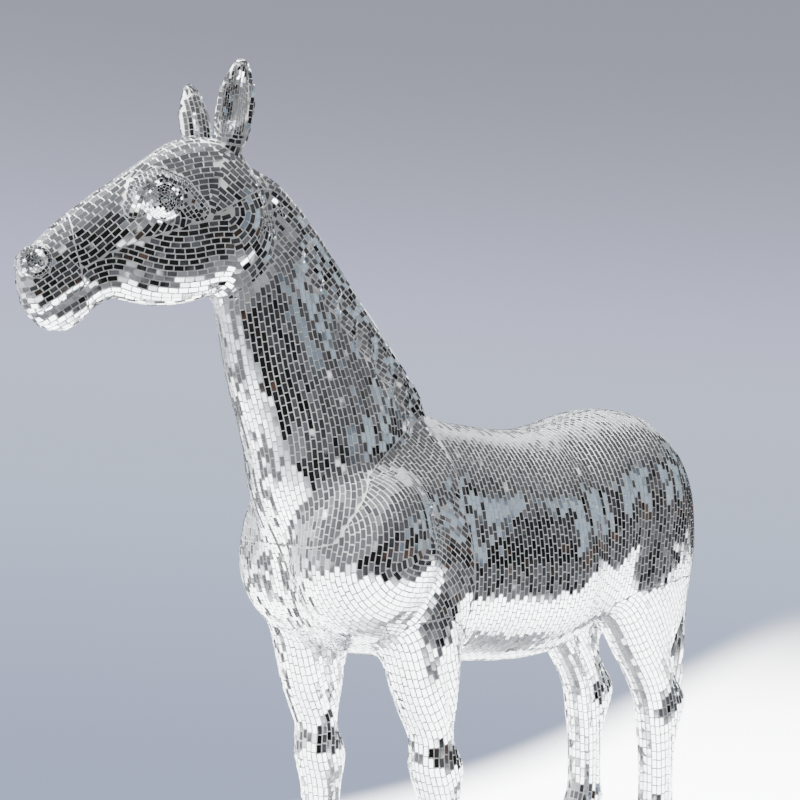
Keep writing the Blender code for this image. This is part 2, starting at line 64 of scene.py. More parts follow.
# %% Unit and stance
WITHERS_HEIGHT = 1.18
UNIT = WITHERS_HEIGHT / 100
SOLE_GAP = 0.0003
STANDS_AT = 8.5
NECK_TURN = math.radians(20)
TURN_START = 40
TURN_END = 88
VOXEL = 0.69
RING_POINTS = 40
STEPS_PER_ROW = 4
BODY_SMOOTHING = 110
LEG_SMOOTHING_SHARE = 0.15
HEAD_SMOOTHING = 2
print("one unit is", round(UNIT * 1000, 1), "mm")

# %% [markdown]
# ## The drawing
# The trunk, neck, head, legs and tail are lofts: a row of cross-sections with a smooth skin over
# them. Few rows are needed, because a Catmull-Rom curve passes through each and fills in the
# ones between.

# %% The trunk's sections
# Each row is one cross-section, seen from the side: the two ends of its centre line
# (forward, up, forward, up), its half width, and how much wider it is towards its first
# end (its egg, a share of the half width).
TRUNK = [
    (59.0, 74, 59.0, 66, 9, 0),
    (57.5, 79, 57.5, 61, 16, 0),
    (53.5, 85.5, 53.5, 56, 20.5, -0.05),
    (47.0, 92, 47.0, 53, 22.5, -0.08),
    (38.0, 98, 38.0, 51.5, 21.0, -0.12),
    (28.0, 99.5, 28.0, 50.0, 20.0, -0.16),
    (18.0, 99.0, 18.0, 49.0, 20.5, -0.18),
    (8.0, 97.8, 8.0, 48.3, 22.0, -0.14),
    (-2.0, 98.0, -2.0, 48.8, 22.8, -0.10),
    (-12.0, 99.8, -12.0, 52, 22.0, -0.05),
    (-20.0, 102, -20.0, 57, 21.0, 0.0),
    (-28.0, 102.8, -28.0, 63, 20.5, 0.0),
    (-34.0, 101.0, -34.0, 67, 18.2, 0.0),
    (-38.4, 97.6, -38.4, 70, 14.8, 0.0),
    (-41.6, 92.5, -41.6, 74, 10.0, 0.0),
    (-43.4, 87, -43.4, 79, 5.5, 0.0),
]
print("trunk drawn in", len(TRUNK), "sections")

# %% The neck's sections
NECK = [
    (17.5, 95.5, 46, 60, 13.5, -0.30),
    (26.0, 101, 56.6, 67, 15.6, -0.32),
    (32.8, 107.8, 63.2, 77, 14.4, -0.34),
    (38.5, 114.9, 66.5, 85, 12.4, -0.36),
    (44.2, 122.3, 67.9, 92, 9.9, -0.36),
    (49.4, 128.9, 70.2, 99.5, 8.3, -0.34),
    (55.2, 136.1, 72.4, 107, 7.3, -0.30),
    (60.8, 142.2, 73.8, 114.5, 6.5, -0.24),
    (66.0, 146.4, 75.2, 121, 5.9, -0.18),
    (70.5, 148.3, 77.5, 127, 5.2, -0.1),
]
print("neck drawn in", len(NECK), "sections")

# %% The head's sections
HEAD = [
    (67.0, 140.5, 67.0, 134.5, 5.8, 0.0),
    (68.2, 146.0, 69.3, 128.8, 7.5, 0.0),
    (71.0, 150.3, 73.0, 124.9, 8.2, 0.0),
    (75.0, 152.6, 77.5, 122.4, 8.2, 0.0),
    (80.0, 152.9, 82.0, 121.2, 7.9, 0.05),
    (85.0, 151.2, 86.5, 120.8, 7.3, 0.10),
    (89.5, 147.9, 91.0, 121.3, 6.4, 0.10),
    (94.5, 144.2, 95.0, 121.9, 5.5, 0.08),
    (99.7, 140.4, 98.6, 119.6, 5.0, 0.05),
    (104.8, 136.1, 101.7, 116.6, 4.9, 0.0),
    (108.4, 132.6, 104.7, 115.6, 5.0, -0.05),
    (111.0, 129.3, 108.2, 116.6, 4.7, -0.05),
    (112.4, 126.0, 111.2, 120.2, 3.0, 0.0),
]
print("head drawn in", len(HEAD), "sections")

# %% The legs' sections
# From the body down to the sole, and a little below it, where they are cut off flat.
FORE_LEG = [
    (50.0, 66, 28.5, 66, 7.0, 0),
    (48.6, 60, 28.4, 60, 7.4, 0),
    (46.2, 52, 29.4, 52, 6.5, 0),
    (43.4, 44, 30.4, 44, 5.6, 0),
    (41.0, 39, 31.0, 39, 4.8, 0),
    (39.7, 36, 31.2, 36, 4.4, 0),
    (39.8, 33.2, 29.8, 33.2, 4.9, 0),
    (39.7, 30.6, 28.8, 30.6, 5.2, 0),
    (38.8, 27.4, 28.8, 27.4, 4.8, 0),
    (37.8, 23.5, 29.2, 23.5, 4.0, 0),
    (37.4, 17, 29.3, 17, 3.6, 0),
    (37.8, 13, 28.8, 13, 3.8, 0),
    (38.3, 10.4, 28.3, 10.4, 4.3, 0),
    (39.0, 8.2, 29.8, 8.0, 3.9, 0),
    (40.4, 5.8, 31.2, 5.4, 4.2, 0),
    (42.0, 3.4, 31.2, 3.0, 5.0, 0),
    (43.6, 0, 30.8, 0, 5.6, 0),
    (43.0, -2.5, 31.4, -2.5, 5.0, 0),
]
HIND_LEG = [
    (-22, 88, -39.5, 88, 6, 0),
    (-18.5, 80, -42.0, 80, 9.0, 0),
    (-14.0, 70, -43.0, 70, 9.0, 0),
    (-13.0, 63, -42.0, 63, 8.0, 0),
    (-15.2, 57, -41.0, 57, 6.8, 0),
    (-18.6, 52, -38.6, 52, 5.8, 0),
    (-22.0, 47, -37.0, 47, 5.0, 0),
    (-25.2, 42.5, -38.4, 42.5, 4.6, 0),
    (-27.0, 39, -40.6, 39, 4.4, 0),
    (-28.0, 36.3, -41.6, 36.6, 4.5, 0),
    (-28.5, 33.3, -40.4, 33.3, 4.5, 0),
    (-28.9, 29.8, -38.8, 29.8, 4.2, 0),
    (-29.2, 25.5, -38.0, 25.5, 3.7, 0),
    (-29.2, 17.5, -37.6, 17.5, 3.4, 0),
    (-28.9, 13.2, -37.9, 13.2, 3.6, 0),
    (-28.0, 10.4, -38.2, 10.4, 4.2, 0),
    (-27.0, 8.2, -36.4, 8.0, 3.8, 0),
    (-25.6, 5.8, -35.0, 5.4, 4.0, 0),
    (-24.2, 3.4, -34.8, 3.0, 4.8, 0),
    (-22.8, 0, -35.0, 0, 5.3, 0),
    (-23.4, -2.5, -34.4, -2.5, 4.7, 0),
]
print("legs drawn in", len(FORE_LEG), "and", len(HIND_LEG), "sections")

# %% The tail's sections
TAIL = [
    (-40.5, 99, -40.5, 92.0, 3.0, 0),
    (-45.5, 97.0, -43.5, 91.0, 3.2, 0),
    (-49.8, 91.5, -45.0, 87.5, 3.6, 0),
    (-52.4, 83.0, -46.0, 81.0, 4.1, 0),
    (-53.8, 73.0, -46.8, 72.0, 4.5, 0),
    (-54.4, 63.0, -47.0, 63.0, 4.7, 0),
    (-54.4, 52.0, -47.2, 52.0, 4.5, 0),
    (-54.0, 42.0, -47.6, 42.0, 3.8, 0),
    (-53.4, 34.0, -49.0, 34.0, 2.6, 0),
    (-52.4, 30.0, -50.6, 30.0, 1.2, 0),
]
print("tail drawn in", len(TAIL), "sections")

# %% [markdown]
# ## What goes on the drawing
# The lofts alone are smooth. Muscles fuse into them, and ears, lids, nostrils and mane are shells
# of their own. Grooves are strokes of a modelling tool, drawn once in side view for both flanks.

# %% Stance, muscles and ears
# Where the legs stand, to either side, and how far each leans forward: at its hoof and
# where it joins the body
FORE_SPREAD = 14.2
HIND_SPREAD = 12.0
LEFT_FORE_LEAN = (0, 0)
RIGHT_FORE_LEAN = (9, 6)
LEFT_HIND_LEAN = (0, 0)
RIGHT_HIND_LEAN = (-2, -2)
LEG_TOP = 60

# The muscles on each side: centre (forward, side, up), half sizes, tilt in side view
MUSCLES = [
    ((49.0, 11.4, 73.6), (13.8, 15.6, 17.4), -6),
    ((38, 10.5, 78), (11, 10.0, 17), -38),
    ((30, 13.4, 69), (9.5, 7.8, 15), 15),
    ((-28.5, 11.6, 80), (14, 10.6, 19), 8),
    ((-18, 13.5, 66), (7, 6.2, 10), 25),
]

# Ears: the middle of the root, the tip, and the way the hollow faces (forward, side)
LEFT_EAR = ((73.6, -4.6, 149.5), (71.8, -6.4, 167.6), (0.34, -0.94))
RIGHT_EAR = ((76.5, 4.6, 149.5), (78.2, 6.0, 164.4), (0.34, 0.94))
EAR_HALF_WIDTH = 3.6
EAR_HALF_DEPTH = 2.3
print(len(MUSCLES), "muscles on each side")

# %% Strokes of the modelling tool
# On both flanks: (path in side view), width, height
STROKES = [
    ([(99.6, 123.6), (102.6, 121.7), (105.6, 119.6), (108.4, 118.0), (112, 117.0)], 0.9, -1.25),
    ([(96.5, 131), (98.5, 126.5)], 5.0, -0.7),
    ([(88.5, 134.5), (93, 133.4), (98, 133.0)], 1.8, 0.3),
    ([(80.0, 147.0), (78.0, 143.0)], 3.0, -0.6),
    ([(97, 123.6), (90, 122.8), (82, 122.8), (75, 124.5)], 1.2, 0.3),
    ([(73, 123.0), (69.0, 126.3), (65.4, 130.6), (63.9, 135), (64.6, 140.5), (66.6, 146)], 1.6, -1.0),
    ([(60, 76), (57.5, 80.5), (52, 88.5), (45.4, 93.0), (39, 97), (30, 101)], 2.6, -0.9),
    ([(31.0, 84), (29.5, 76), (29.0, 66), (30.5, 58)], 4.0, -0.6),
    ([(41.5, 80), (41.0, 73), (42.5, 66), (46, 61.0)], 3.0, -0.5),
    ([(-6.8, 92), (-7.5, 86), (-8.7, 78.4), (-9.0, 69.9), (-8.5, 62)], 4.6, -1.1),
    ([(-31, 76), (-34.5, 63), (-33, 52)], 3.4, -0.4),
]
FORE_LEG_STROKES = [
    ([(32.2, 25), (31.8, 14)], 0.9, -0.6),
    ([(36.4, 52), (33.8, 40)], 1.4, -0.6),
    ([(39.5, 9.6), (30.5, 9.4)], 0.8, 0.2),
    ([(43, 6.0), (30.5, 5.2)], 0.7, -0.45),
]
HIND_LEG_STROKES = [
    ([(-35.4, 31), (-34.8, 14)], 0.9, -0.6),
    ([(-34.5, 52), (-37.0, 40)], 1.2, -0.9),
    ([(-23.5, 6.0), (-36, 5.2)], 0.7, -0.45),
]

print(len(STROKES) + 2 * len(FORE_LEG_STROKES) + 2 * len(HIND_LEG_STROKES), "strokes")

# %% Tail, eye and nostril
# The flutes of the tail: how deep, how many round it, and how much and how often they sway
TAIL_FLUTE = 0.45
TAIL_FLUTES = 8
FLUTE_SWAY = 1.1
FLUTE_SWAY_LENGTH = 6.0

# The left eye, and its lid and brow beside it, each offset (forward, out, up) from it
EYE = (86.4, 6.4, 139.4)
EYE_RADII = (3.7, 2.6, 3.4)
LID = [(5.0, 0.2, -0.8), (4.0, 1.0, 2.6), (0.8, 1.7, 4.2), (-3.0, 1.7, 2.6), (-6.0, 1.2, -1.2)]
LID_RADII = [0.6, 1.0, 1.1, 1.05, 0.7]
BROW = (1.2, -1.7, 5.0)
BROW_RADII = (6.0, 2.9, 3.4)
BROW_TILT = 38

# The left nostril: its middle, the half sizes of its rim (forward, out, up), the rim's
# own radius, how deep it sinks, and where the sinking starts and is full
NOSTRIL = (109.6, 4.2, 128.0)
NOSTRIL_RIM = (2.0, -0.5, 2.3)
RIM_RADIUS = 0.8
RIM_POINTS = 13
NOSTRIL_DEPTH = 1.6
NOSTRIL_MOUTH = 1.9
NOSTRIL_FLOOR = 0.8
print("eyeball", round(2 * EYE_RADII[0] * UNIT, 3), "m long")

# %% The mane
# The locks of the mane on each side: where the first and last start, as a share of the
# neck from its root, their length as such a share, how far round the neck they reach
# and how much they wave, both in degrees, and their thickness along their length
MANE_LOCKS = 8
FIRST_LOCK = 0.97
LAST_LOCK = 0.40
LOCK_LENGTH = 0.30
LOCK_START = 20
LOCK_DROP = 38
LOCK_WAVE = 7
LOCK_RADII = [0.8, 1.6, 2.1, 2.4, 2.4, 2.3, 2.0, 1.4, 0.6]
print(MANE_LOCKS, "locks on each side")

# %% [markdown]
# ## From numbers to rings
# Every form is made in the same way: rings of points, one after another. A loft takes its rings
# from the rows above, a lock or a lid carries round ones along a path, and a muscle is a ball.

# %% Smooth curves
def catmull_rom(rows, steps):
    """Rows read as points of a smooth curve through all of them, steps for each gap."""
    rows = np.array(rows, float)
    ahead = np.vstack([2 * rows[0] - rows[1], rows, 2 * rows[-1] - rows[-2]])
    p0, p1, p2, p3 = (p[:, None, :] for p in (ahead[:-3], ahead[1:-2], ahead[2:-1], ahead[3:]))
    t = (np.arange(steps) / steps)[None, :, None]
    curve = 0.5 * (
        2 * p1
        + (p2 - p0) * t
        + (2 * p0 - 5 * p1 + 4 * p2 - p3) * t**2
        + (3 * p1 - p0 - 3 * p2 + p3) * t**3
    )
    return np.vstack([curve.reshape(-1, rows.shape[1]), rows[-1:]])


def smooth_step(value, start, end):
    """0 before start, 1 after end, and an S between them."""
    t = np.clip((value - start) / (end - start), 0, 1)
    return t * t * (3 - 2 * t)


print("the trunk's curve has", len(catmull_rom(TRUNK, STEPS_PER_ROW)), "sections")

# %% A skin over rings
def ring_quads(index):
    """Quads between neighbouring rings, from the rings' point numbers, one row a ring."""
    beside = np.roll(index, -1, axis=1)
    return np.stack([index[:-1], beside[:-1], beside[1:], index[1:]], axis=2).reshape(-1, 4)


def skin(rings, start=0):
    """Quads between neighbouring rings, and a fan from a middle point over each end. The
    points are numbered from start."""
    count, around = rings.shape[:2]
    points = np.vstack([rings.reshape(-1, 3), [rings[0].mean(0)], [rings[-1].mean(0)]])
    index = start + np.arange(count * around).reshape(count, around)
    first, last = index[0], index[-1]
    middle = np.full(around, start + count * around)
    near_end = np.stack([middle, np.roll(first, -1), first], axis=1)
    far_end = np.stack([middle + 1, last, np.roll(last, -1)], axis=1)
    return points, ring_quads(index).tolist() + near_end.tolist() + far_end.tolist()


print("two rings make", len(skin(np.zeros((2, RING_POINTS, 3)))[1]), "faces")

# %% Lofts and tubes
def section_rings(rows, side=0.0, squareness=2.2, lean=(0.0, 0.0)):
    """The rings of a loft through the rows, as (sections, points, 3)."""
    rows = catmull_rom(rows, STEPS_PER_ROW)
    turn = np.linspace(0, 2 * math.pi, RING_POINTS, endpoint=False)
    along = np.sign(np.cos(turn)) * np.abs(np.cos(turn)) ** (2 / squareness)
    across = np.sign(np.sin(turn)) * np.abs(np.sin(turn)) ** (2 / squareness)
    first, second = rows[:, None, 0:2], rows[:, None, 2:4]
    in_side_view = (first + second) / 2 + (first - second) / 2 * along[None, :, None]
    width = rows[:, 4:5] * across * (1 + rows[:, 5:6] * along)
    rings = np.dstack([in_side_view[..., 0], side + width, in_side_view[..., 1]])
    rings[..., 0] += lean[0] + (lean[1] - lean[0]) * rings[..., 2] / LEG_TOP
    return rings


def tube_rings(path, radii):
    """Rings of the given radii carried along a path of (forward, side, up) points."""
    path = catmull_rom(path, STEPS_PER_ROW)
    radii = catmull_rom([(r,) for r in radii], STEPS_PER_ROW)
    ahead = np.gradient(path, axis=0)
    ahead /= np.linalg.norm(ahead, axis=1)[:, None]
    out = np.cross(ahead, np.cross([0.0, 1.0, 0.0], ahead))
    out /= np.linalg.norm(out, axis=1)[:, None]
    beside = np.cross(ahead, out)
    turn = np.linspace(0, 2 * math.pi, RING_POINTS // 2, endpoint=False)[None, :, None]
    ring = np.cos(turn) * out[:, None, :] + np.sin(turn) * beside[:, None, :]
    return path[:, None, :] + radii[:, None, :] * ring


print("the trunk's loft has", section_rings(TRUNK).shape[0], "rings of", RING_POINTS, "points")

# %% Balls
POLE_GAP = 0.02
BALL_RINGS = 21
BALL_POINTS = 32


def ball_rings(centre, radii, tilt=0):
    """Rings of an ellipsoid from pole to pole, tilted in side view, its top going forward."""
    fall = np.linspace(POLE_GAP, math.pi - POLE_GAP, BALL_RINGS)[:, None]
    turn = np.linspace(0, 2 * math.pi, BALL_POINTS, endpoint=False)[None, :]
    forward = radii[0] * np.sin(fall) * np.cos(turn)
    side = radii[1] * np.sin(fall) * np.sin(turn)
    up = radii[2] * np.cos(fall) * np.ones_like(turn)
    lean = math.radians(tilt)
    return np.dstack([
        centre[0] + forward * math.cos(lean) + up * math.sin(lean),
        centre[1] + side,
        centre[2] - forward * math.sin(lean) + up * math.cos(lean),
    ])


print("an eyeball reaches", ball_rings((0, 0, 0), EYE_RADII).max(axis=(0, 1)).round(2))

# %% Ears
# The hollow is a bell-shaped dent in the front of each ring. It opens and closes between
# the given shares of the ear's length.
EAR_RINGS = 15
DENT_DEPTH, DENT_WIDTH = 1.25, 0.75
DENT_OPENS = (0.22, 0.40)
DENT_CLOSES = (0.72, 0.92)


def ear_width(share):
    """Half the width of an ear at a share of its length: a leaf, widest below its middle."""
    return EAR_HALF_WIDTH * np.sin(math.pi * (0.22 + 0.75 * share) ** 1.15) ** 0.7


def ear_rings(root, tip, faces):
    """Rings of a leaf-shaped ear whose hollow faces the given way, from root to tip."""
    root, tip = np.array(root), np.array(tip)
    facing = np.array([faces[0], faces[1], 0.0])
    beside = np.array([-faces[1], faces[0], 0.0])
    share = np.linspace(0, 1, EAR_RINGS)
    width = ear_width(share)
    depth = EAR_HALF_DEPTH * width / EAR_HALF_WIDTH
    turn = np.linspace(0, 2 * math.pi, RING_POINTS, endpoint=False)
    hollow = DENT_DEPTH * np.exp(-((np.angle(np.exp(1j * turn)) / DENT_WIDTH) ** 2))
    opened = smooth_step(share, *DENT_OPENS) * (1 - smooth_step(share, *DENT_CLOSES))
    reach = np.cos(turn)[None, :] * (1 - opened[:, None] * hollow[None, :])
    centre = root + (tip - root) * share[:, None]
    return (
        centre[:, None, :]
        + (depth[:, None] * reach)[..., None] * facing
        + (width[:, None] * np.sin(turn)[None, :])[..., None] * beside
    )


print("an ear is up to", round(2 * float(ear_width(np.linspace(0, 1, EAR_RINGS)).max()), 1), "wide")

# %% Locks
def mane_lock(start, side):
    """The path of one lock: along the neck's skin from the crest, then down its side."""
    rows = catmull_rom(NECK, STEPS_PER_ROW)
    share = np.linspace(0, 1, len(LOCK_RADII))
    place = start - LOCK_LENGTH * share
    index = np.clip(place * (len(rows) - 1), 0, len(rows) - 1)
    row = np.stack([np.interp(index, np.arange(len(rows)), rows[:, k]) for k in range(6)], 1)
    wave = LOCK_WAVE * np.sin(2.2 * math.pi * share)
    turn = np.radians(LOCK_START + LOCK_DROP * share**1.4 + wave)
    middle, reach = (row[:, 0:2] + row[:, 2:4]) / 2, (row[:, 0:2] - row[:, 2:4]) / 2
    skin = middle + reach * np.cos(turn)[:, None]
    width = row[:, 4] * np.sin(turn) * (1 + row[:, 5] * np.cos(turn))
    return np.column_stack([skin[:, 0], side * width, skin[:, 1]])


print("the first lock hangs down to", mane_lock(FIRST_LOCK, 1)[-1].round(1))

# %% [markdown]
# ## Body shells and head shells
# The casting is fused in two rounds, as a modeller works in clay. The body goes first and is
# smoothed hard, so the muscles melt into it. The head, ears, mane and tail go on after, and get
# only a light smoothing, so they stay crisp.

# %% The shells
def body_shells():
    """Rings of trunk, neck, legs and muscles."""
    yield section_rings(TRUNK, squareness=2.25)
    yield section_rings(NECK, squareness=2.1)
    yield section_rings(FORE_LEG, -FORE_SPREAD, lean=LEFT_FORE_LEAN)
    yield section_rings(FORE_LEG, FORE_SPREAD, lean=RIGHT_FORE_LEAN)
    yield section_rings(HIND_LEG, -HIND_SPREAD, lean=LEFT_HIND_LEAN)
    yield section_rings(HIND_LEG, HIND_SPREAD, lean=RIGHT_HIND_LEAN)
    for side in (-1, 1):
        for centre, radii, tilt in MUSCLES:
            yield ball_rings((centre[0], side * centre[1], centre[2]), radii, tilt)


def head_shells():
    """Rings of head, ears, eyes, lids, nostril rims, mane locks and tail."""
    yield section_rings(HEAD, squareness=2.7)
    yield section_rings(TAIL)
    yield ear_rings(*LEFT_EAR)
    yield ear_rings(*RIGHT_EAR)
    round_rim = np.linspace(0, 2 * math.pi, RIM_POINTS)
    way = np.column_stack([np.cos(round_rim), np.cos(round_rim), np.sin(round_rim)])
    for side in (-1, 1):
        mirror = np.array([1, side, 1])
        eye, nostril = mirror * EYE, mirror * NOSTRIL
        yield ball_rings(eye, EYE_RADII)
        yield tube_rings([eye + mirror * offset for offset in LID], LID_RADII)
        yield ball_rings(eye + mirror * BROW, BROW_RADII, BROW_TILT)
        yield tube_rings(nostril + mirror * NOSTRIL_RIM * way, [RIM_RADIUS] * RIM_POINTS)
        for start in np.linspace(FIRST_LOCK, LAST_LOCK, MANE_LOCKS):
            yield tube_rings(mane_lock(start, side), LOCK_RADII)


print(len(list(body_shells())), "body shells,", len(list(head_shells())), "head shells")

# %% [markdown]
# ## Fusing
# A voxel remesh turns overlapping shells into one skin of even quads. Even quads matter twice
# here: they smooth evenly, and the tiles are laid by walking over them.

# %% Reading meshes
def read_points(mesh, kind="co"):
    """The mesh's points, or its normals, as one array."""
    values = np.empty(len(mesh.vertices) * 3)
    mesh.vertices.foreach_get(kind, values)
    return values.reshape(-1, 3)


def read_quads(mesh):
    """The mesh's faces, which are all quads, as one array of point numbers."""
    corners = np.empty(len(mesh.loops), int)
    mesh.loops.foreach_get("vertex_index", corners)
    return corners.reshape(-1, 4)


def evaluated(obj):
    """The object's mesh with its modifiers carried out."""
    graph = bpy.context.evaluated_depsgraph_get()
    return bpy.data.meshes.new_from_object(obj.evaluated_get(graph))


print("the packed casting has", len(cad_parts["horse"].data.vertices), "points")

# %% Fusing and smoothing
LEGS_END, BODY_STARTS = 44, 62


def fused(points, faces, passes, weight):
    """One skin over all the shells, then that many smoothing passes, as strong at each
    point as weight(points) says."""
    mesh = bpy.data.meshes.new("shells")
    mesh.from_pydata(points, [], faces)
    obj = bpy.data.objects.new("shells", mesh)
    bpy.context.scene.collection.objects.link(obj)
    remesh = obj.modifiers.new("fuse", "REMESH")
    remesh.mode = "VOXEL"
    remesh.voxel_size = VOXEL
    whole = evaluated(obj)
    obj.modifiers.remove(remesh)
    obj.data = whole
    soft = obj.vertex_groups.new(name="soft")
    weights = weight(read_points(whole)).round(2)
    for level in np.unique(weights):
        soft.add(np.flatnonzero(weights == level).tolist(), float(level), "REPLACE")
    smooth = obj.modifiers.new("soften", "SMOOTH")
    smooth.factor = 0.5
    smooth.iterations = passes
    smooth.vertex_group = "soft"
    softened = evaluated(obj)
    bpy.data.objects.remove(obj)
    return softened


def gather(shells, first=None):
    """The points and faces of many shells, after those of an earlier mesh."""
    points, faces, start = [], [], 0
    if first is not None:
        points.append(read_points(first))
        faces += read_quads(first).tolist()
        start = len(first.vertices)
    for rings in shells:
        new_points, new_faces = skin(rings, start)
        points.append(new_points)
        faces += new_faces
        start += len(new_points)
    return np.vstack(points), faces


def body_softness(points):
    """Full on the trunk, a small share of it on the legs."""
    legs = 1 - smooth_step(points[:, 2], LEGS_END, BODY_STARTS)
    return 1 - (1 - LEG_SMOOTHING_SHARE) * legs


body = fused(*gather(body_shells()), BODY_SMOOTHING, body_softness)
casting = fused(*gather(head_shells(), body), HEAD_SMOOTHING, lambda points: np.ones(len(points)))
print("casting of", len(casting.vertices), "points")

# %% [markdown]
# ## Tool marks and the turn of the neck
# Strokes drawn in side view cut the jowl, the shoulder seam and the tendons. After them the
# neck is bent: its centre line swings to the right, and each point keeps its distance from it.

# %% A stroke of the tool
# A stroke works on the flanks alone: it begins where the skin's outward direction is this
# much sideways, and has its full depth where it is this much.
FLANK_BEGINS, FLANK_FULL = 0.2, 0.6


def distance_to(places, path):
    """How far each place is from a polyline, all in the same two dimensions."""
    path = np.array(path, float)
    nearest = np.full(len(places), np.inf)
    for start, end in zip(path, path[1:]):
        along = end - start
        share = np.clip((places - start) @ along / (along @ along), 0, 1)
        gap = np.linalg.norm(places - start - share[:, None] * along, axis=1)
        nearest = np.minimum(nearest, gap)
    return nearest


def stroke(points, normals, path, width, height, shift=0.0, sides=(-1, 1)):
    """One tool stroke on the flanks, drawn in side view: it raises the skin by height,
    or cuts it where height is negative, and fades over width to each side of its path."""
    near = distance_to(points[:, [0, 2]] - [shift, 0], path)
    flank = smooth_step(np.abs(normals[:, 1]), FLANK_BEGINS, FLANK_FULL)
    there = np.isin(np.sign(points[:, 1]), sides)
    amount = height * np.exp(-((near / width) ** 2)) * flank * there
    points += normals * amount[:, None]


print("the deepest stroke cuts", -min(height for _, _, height in STROKES), "units")

# %% Flutes and nostrils
# The flutes fade in behind the rump, within the tail's width, above its tip, below its root.
FLUTES_BEHIND, FLUTES_WITHIN = (46, 49), (7, 5.5)
FLUTES_ABOVE, FLUTES_BELOW = (29, 40), (98, 88)


def flute_tail(points, normals):
    """Long shallow flutes down the tail, deepest at mid length."""
    rows = catmull_rom(TAIL, STEPS_PER_ROW)
    up = (rows[:, 1] + rows[:, 3])[::-1] / 2
    axis = np.interp(points[:, 2], up, (rows[:, 0] + rows[:, 2])[::-1] / 2)
    around = np.arctan2(points[:, 1], points[:, 0] - axis)
    free = smooth_step(-points[:, 0], *FLUTES_BEHIND)
    free = free * smooth_step(np.abs(points[:, 1]), *FLUTES_WITHIN)
    free *= smooth_step(points[:, 2], *FLUTES_ABOVE) * smooth_step(points[:, 2], *FLUTES_BELOW)
    sway = FLUTE_SWAY * np.sin(points[:, 2] / FLUTE_SWAY_LENGTH)
    wave = np.cos(TAIL_FLUTES * around + sway)
    points += normals * (TAIL_FLUTE * wave * free)[:, None]


def sink_nostrils(points, normals):
    """Pushes the skin in, straight sideways, inside the rim of each nostril."""
    away = np.hypot(points[:, 0] - NOSTRIL[0], points[:, 2] - NOSTRIL[2])
    sideways = np.abs(normals[:, 1]) > FLANK_BEGINS
    inside = smooth_step(-away, -NOSTRIL_MOUTH, -NOSTRIL_FLOOR) * sideways
    points[:, 1] -= np.sign(points[:, 1]) * NOSTRIL_DEPTH * inside


print(TAIL_FLUTES, "flutes round the tail")

# %% The turn of the neck
# The bend is worked out once on a fine row of places along the nose, from behind the tail
# to beyond the muzzle.
BEND_FROM, BEND_TO, BEND_PLACES = -120, 160, 2801


def turn_neck(points):
    """Bends straight-necked points to the right: the heading swings by NECK_TURN as an
    S between the start and the end of the turn, and each point keeps its distance from
    the centre line."""
    forward = np.linspace(BEND_FROM, BEND_TO, BEND_PLACES)
    heading = NECK_TURN * smooth_step(forward, TURN_START, TURN_END)
    step = forward[1] - forward[0]
    line = np.concatenate([[0], np.cumsum(np.cos(heading[:-1]) * step)])
    drift = np.concatenate([[0], np.cumsum(np.sin(heading[:-1]) * step)])
    line -= np.interp(0, forward, line)
    drift -= np.interp(0, forward, drift)
    at_line = np.interp(points[:, 0], forward, line)
    at_drift = np.interp(points[:, 0], forward, drift)
    swing = np.interp(points[:, 0], forward, heading)
    bent = points.copy()
    bent[:, 0] = at_line - points[:, 1] * np.sin(swing)
    bent[:, 1] = at_drift + points[:, 1] * np.cos(swing)
    return bent


def to_world(points):
    """Forward, side and up as metres in the frame, what is below the soles pressed flat."""
    return np.column_stack([
        (STANDS_AT - points[:, 0]) * UNIT,
        points[:, 1] * UNIT,
        np.maximum(points[:, 2], 0) * UNIT + BASE_TOP + SOLE_GAP,
    ])


print("the nose swings round to", turn_neck(np.array([[112.0, 0.0, 120.0]])).round(1)[0])

# %% Carving the casting
drawn, outward = read_points(casting), read_points(casting, "normal")
for path, width, height in STROKES:
    stroke(drawn, outward, path, width, height)
for strokes, left, right in (
    (FORE_LEG_STROKES, LEFT_FORE_LEAN, RIGHT_FORE_LEAN),
    (HIND_LEG_STROKES, LEFT_HIND_LEAN, RIGHT_HIND_LEAN),
):
    for path, width, height in strokes:
        stroke(drawn, outward, path, width, height, left[0], (-1,))
        stroke(drawn, outward, path, width, height, right[0], (1,))
flute_tail(drawn, outward)
sink_nostrils(drawn, outward)
placed = to_world(turn_neck(drawn))
quads = read_quads(casting)[:, ::-1]
print("carved box", placed.min(0).round(3), placed.max(0).round(3), "solid", CASTING_BOX)

# %% [markdown]
# ## The skin as triangles
# To lay tiles, three things are needed everywhere: which way is out, how a value changes along
# the skin, and how far it is to walk from one place to another.

# %% Triangles and slopes
def triangulate(points, quads):
    """Each quad cut along its shorter diagonal."""
    first = np.linalg.norm(points[quads[:, 0]] - points[quads[:, 2]], axis=1)
    other = np.linalg.norm(points[quads[:, 1]] - points[quads[:, 3]], axis=1)
    turned = np.where((first <= other)[:, None], quads, np.roll(quads, -1, axis=1))
    return np.vstack([turned[:, [0, 1, 2]], turned[:, [0, 2, 3]]])


triangles = triangulate(placed, quads)
edges = [placed[triangles[:, (k + 2) % 3]] - placed[triangles[:, (k + 1) % 3]] for k in range(3)]
facing = np.cross(edges[2], -edges[1])
twice_area = np.linalg.norm(facing, axis=1)
facing /= np.maximum(twice_area, 1e-12)[:, None]
out = np.zeros_like(placed)
for k in range(3):
    np.add.at(out, triangles[:, k], facing * twice_area[:, None])
out /= np.maximum(np.linalg.norm(out, axis=1), 1e-12)[:, None]


def slope(field):
    """How a value at the points rises over each triangle, as an arrow in metres."""
    rise = sum(field[triangles[:, k]][:, None] * np.cross(facing, edges[k]) for k in range(3))
    return rise / np.maximum(twice_area, 1e-12)[:, None]


print(len(triangles), "triangles,", round(twice_area.sum() / 2, 2), "square metres")

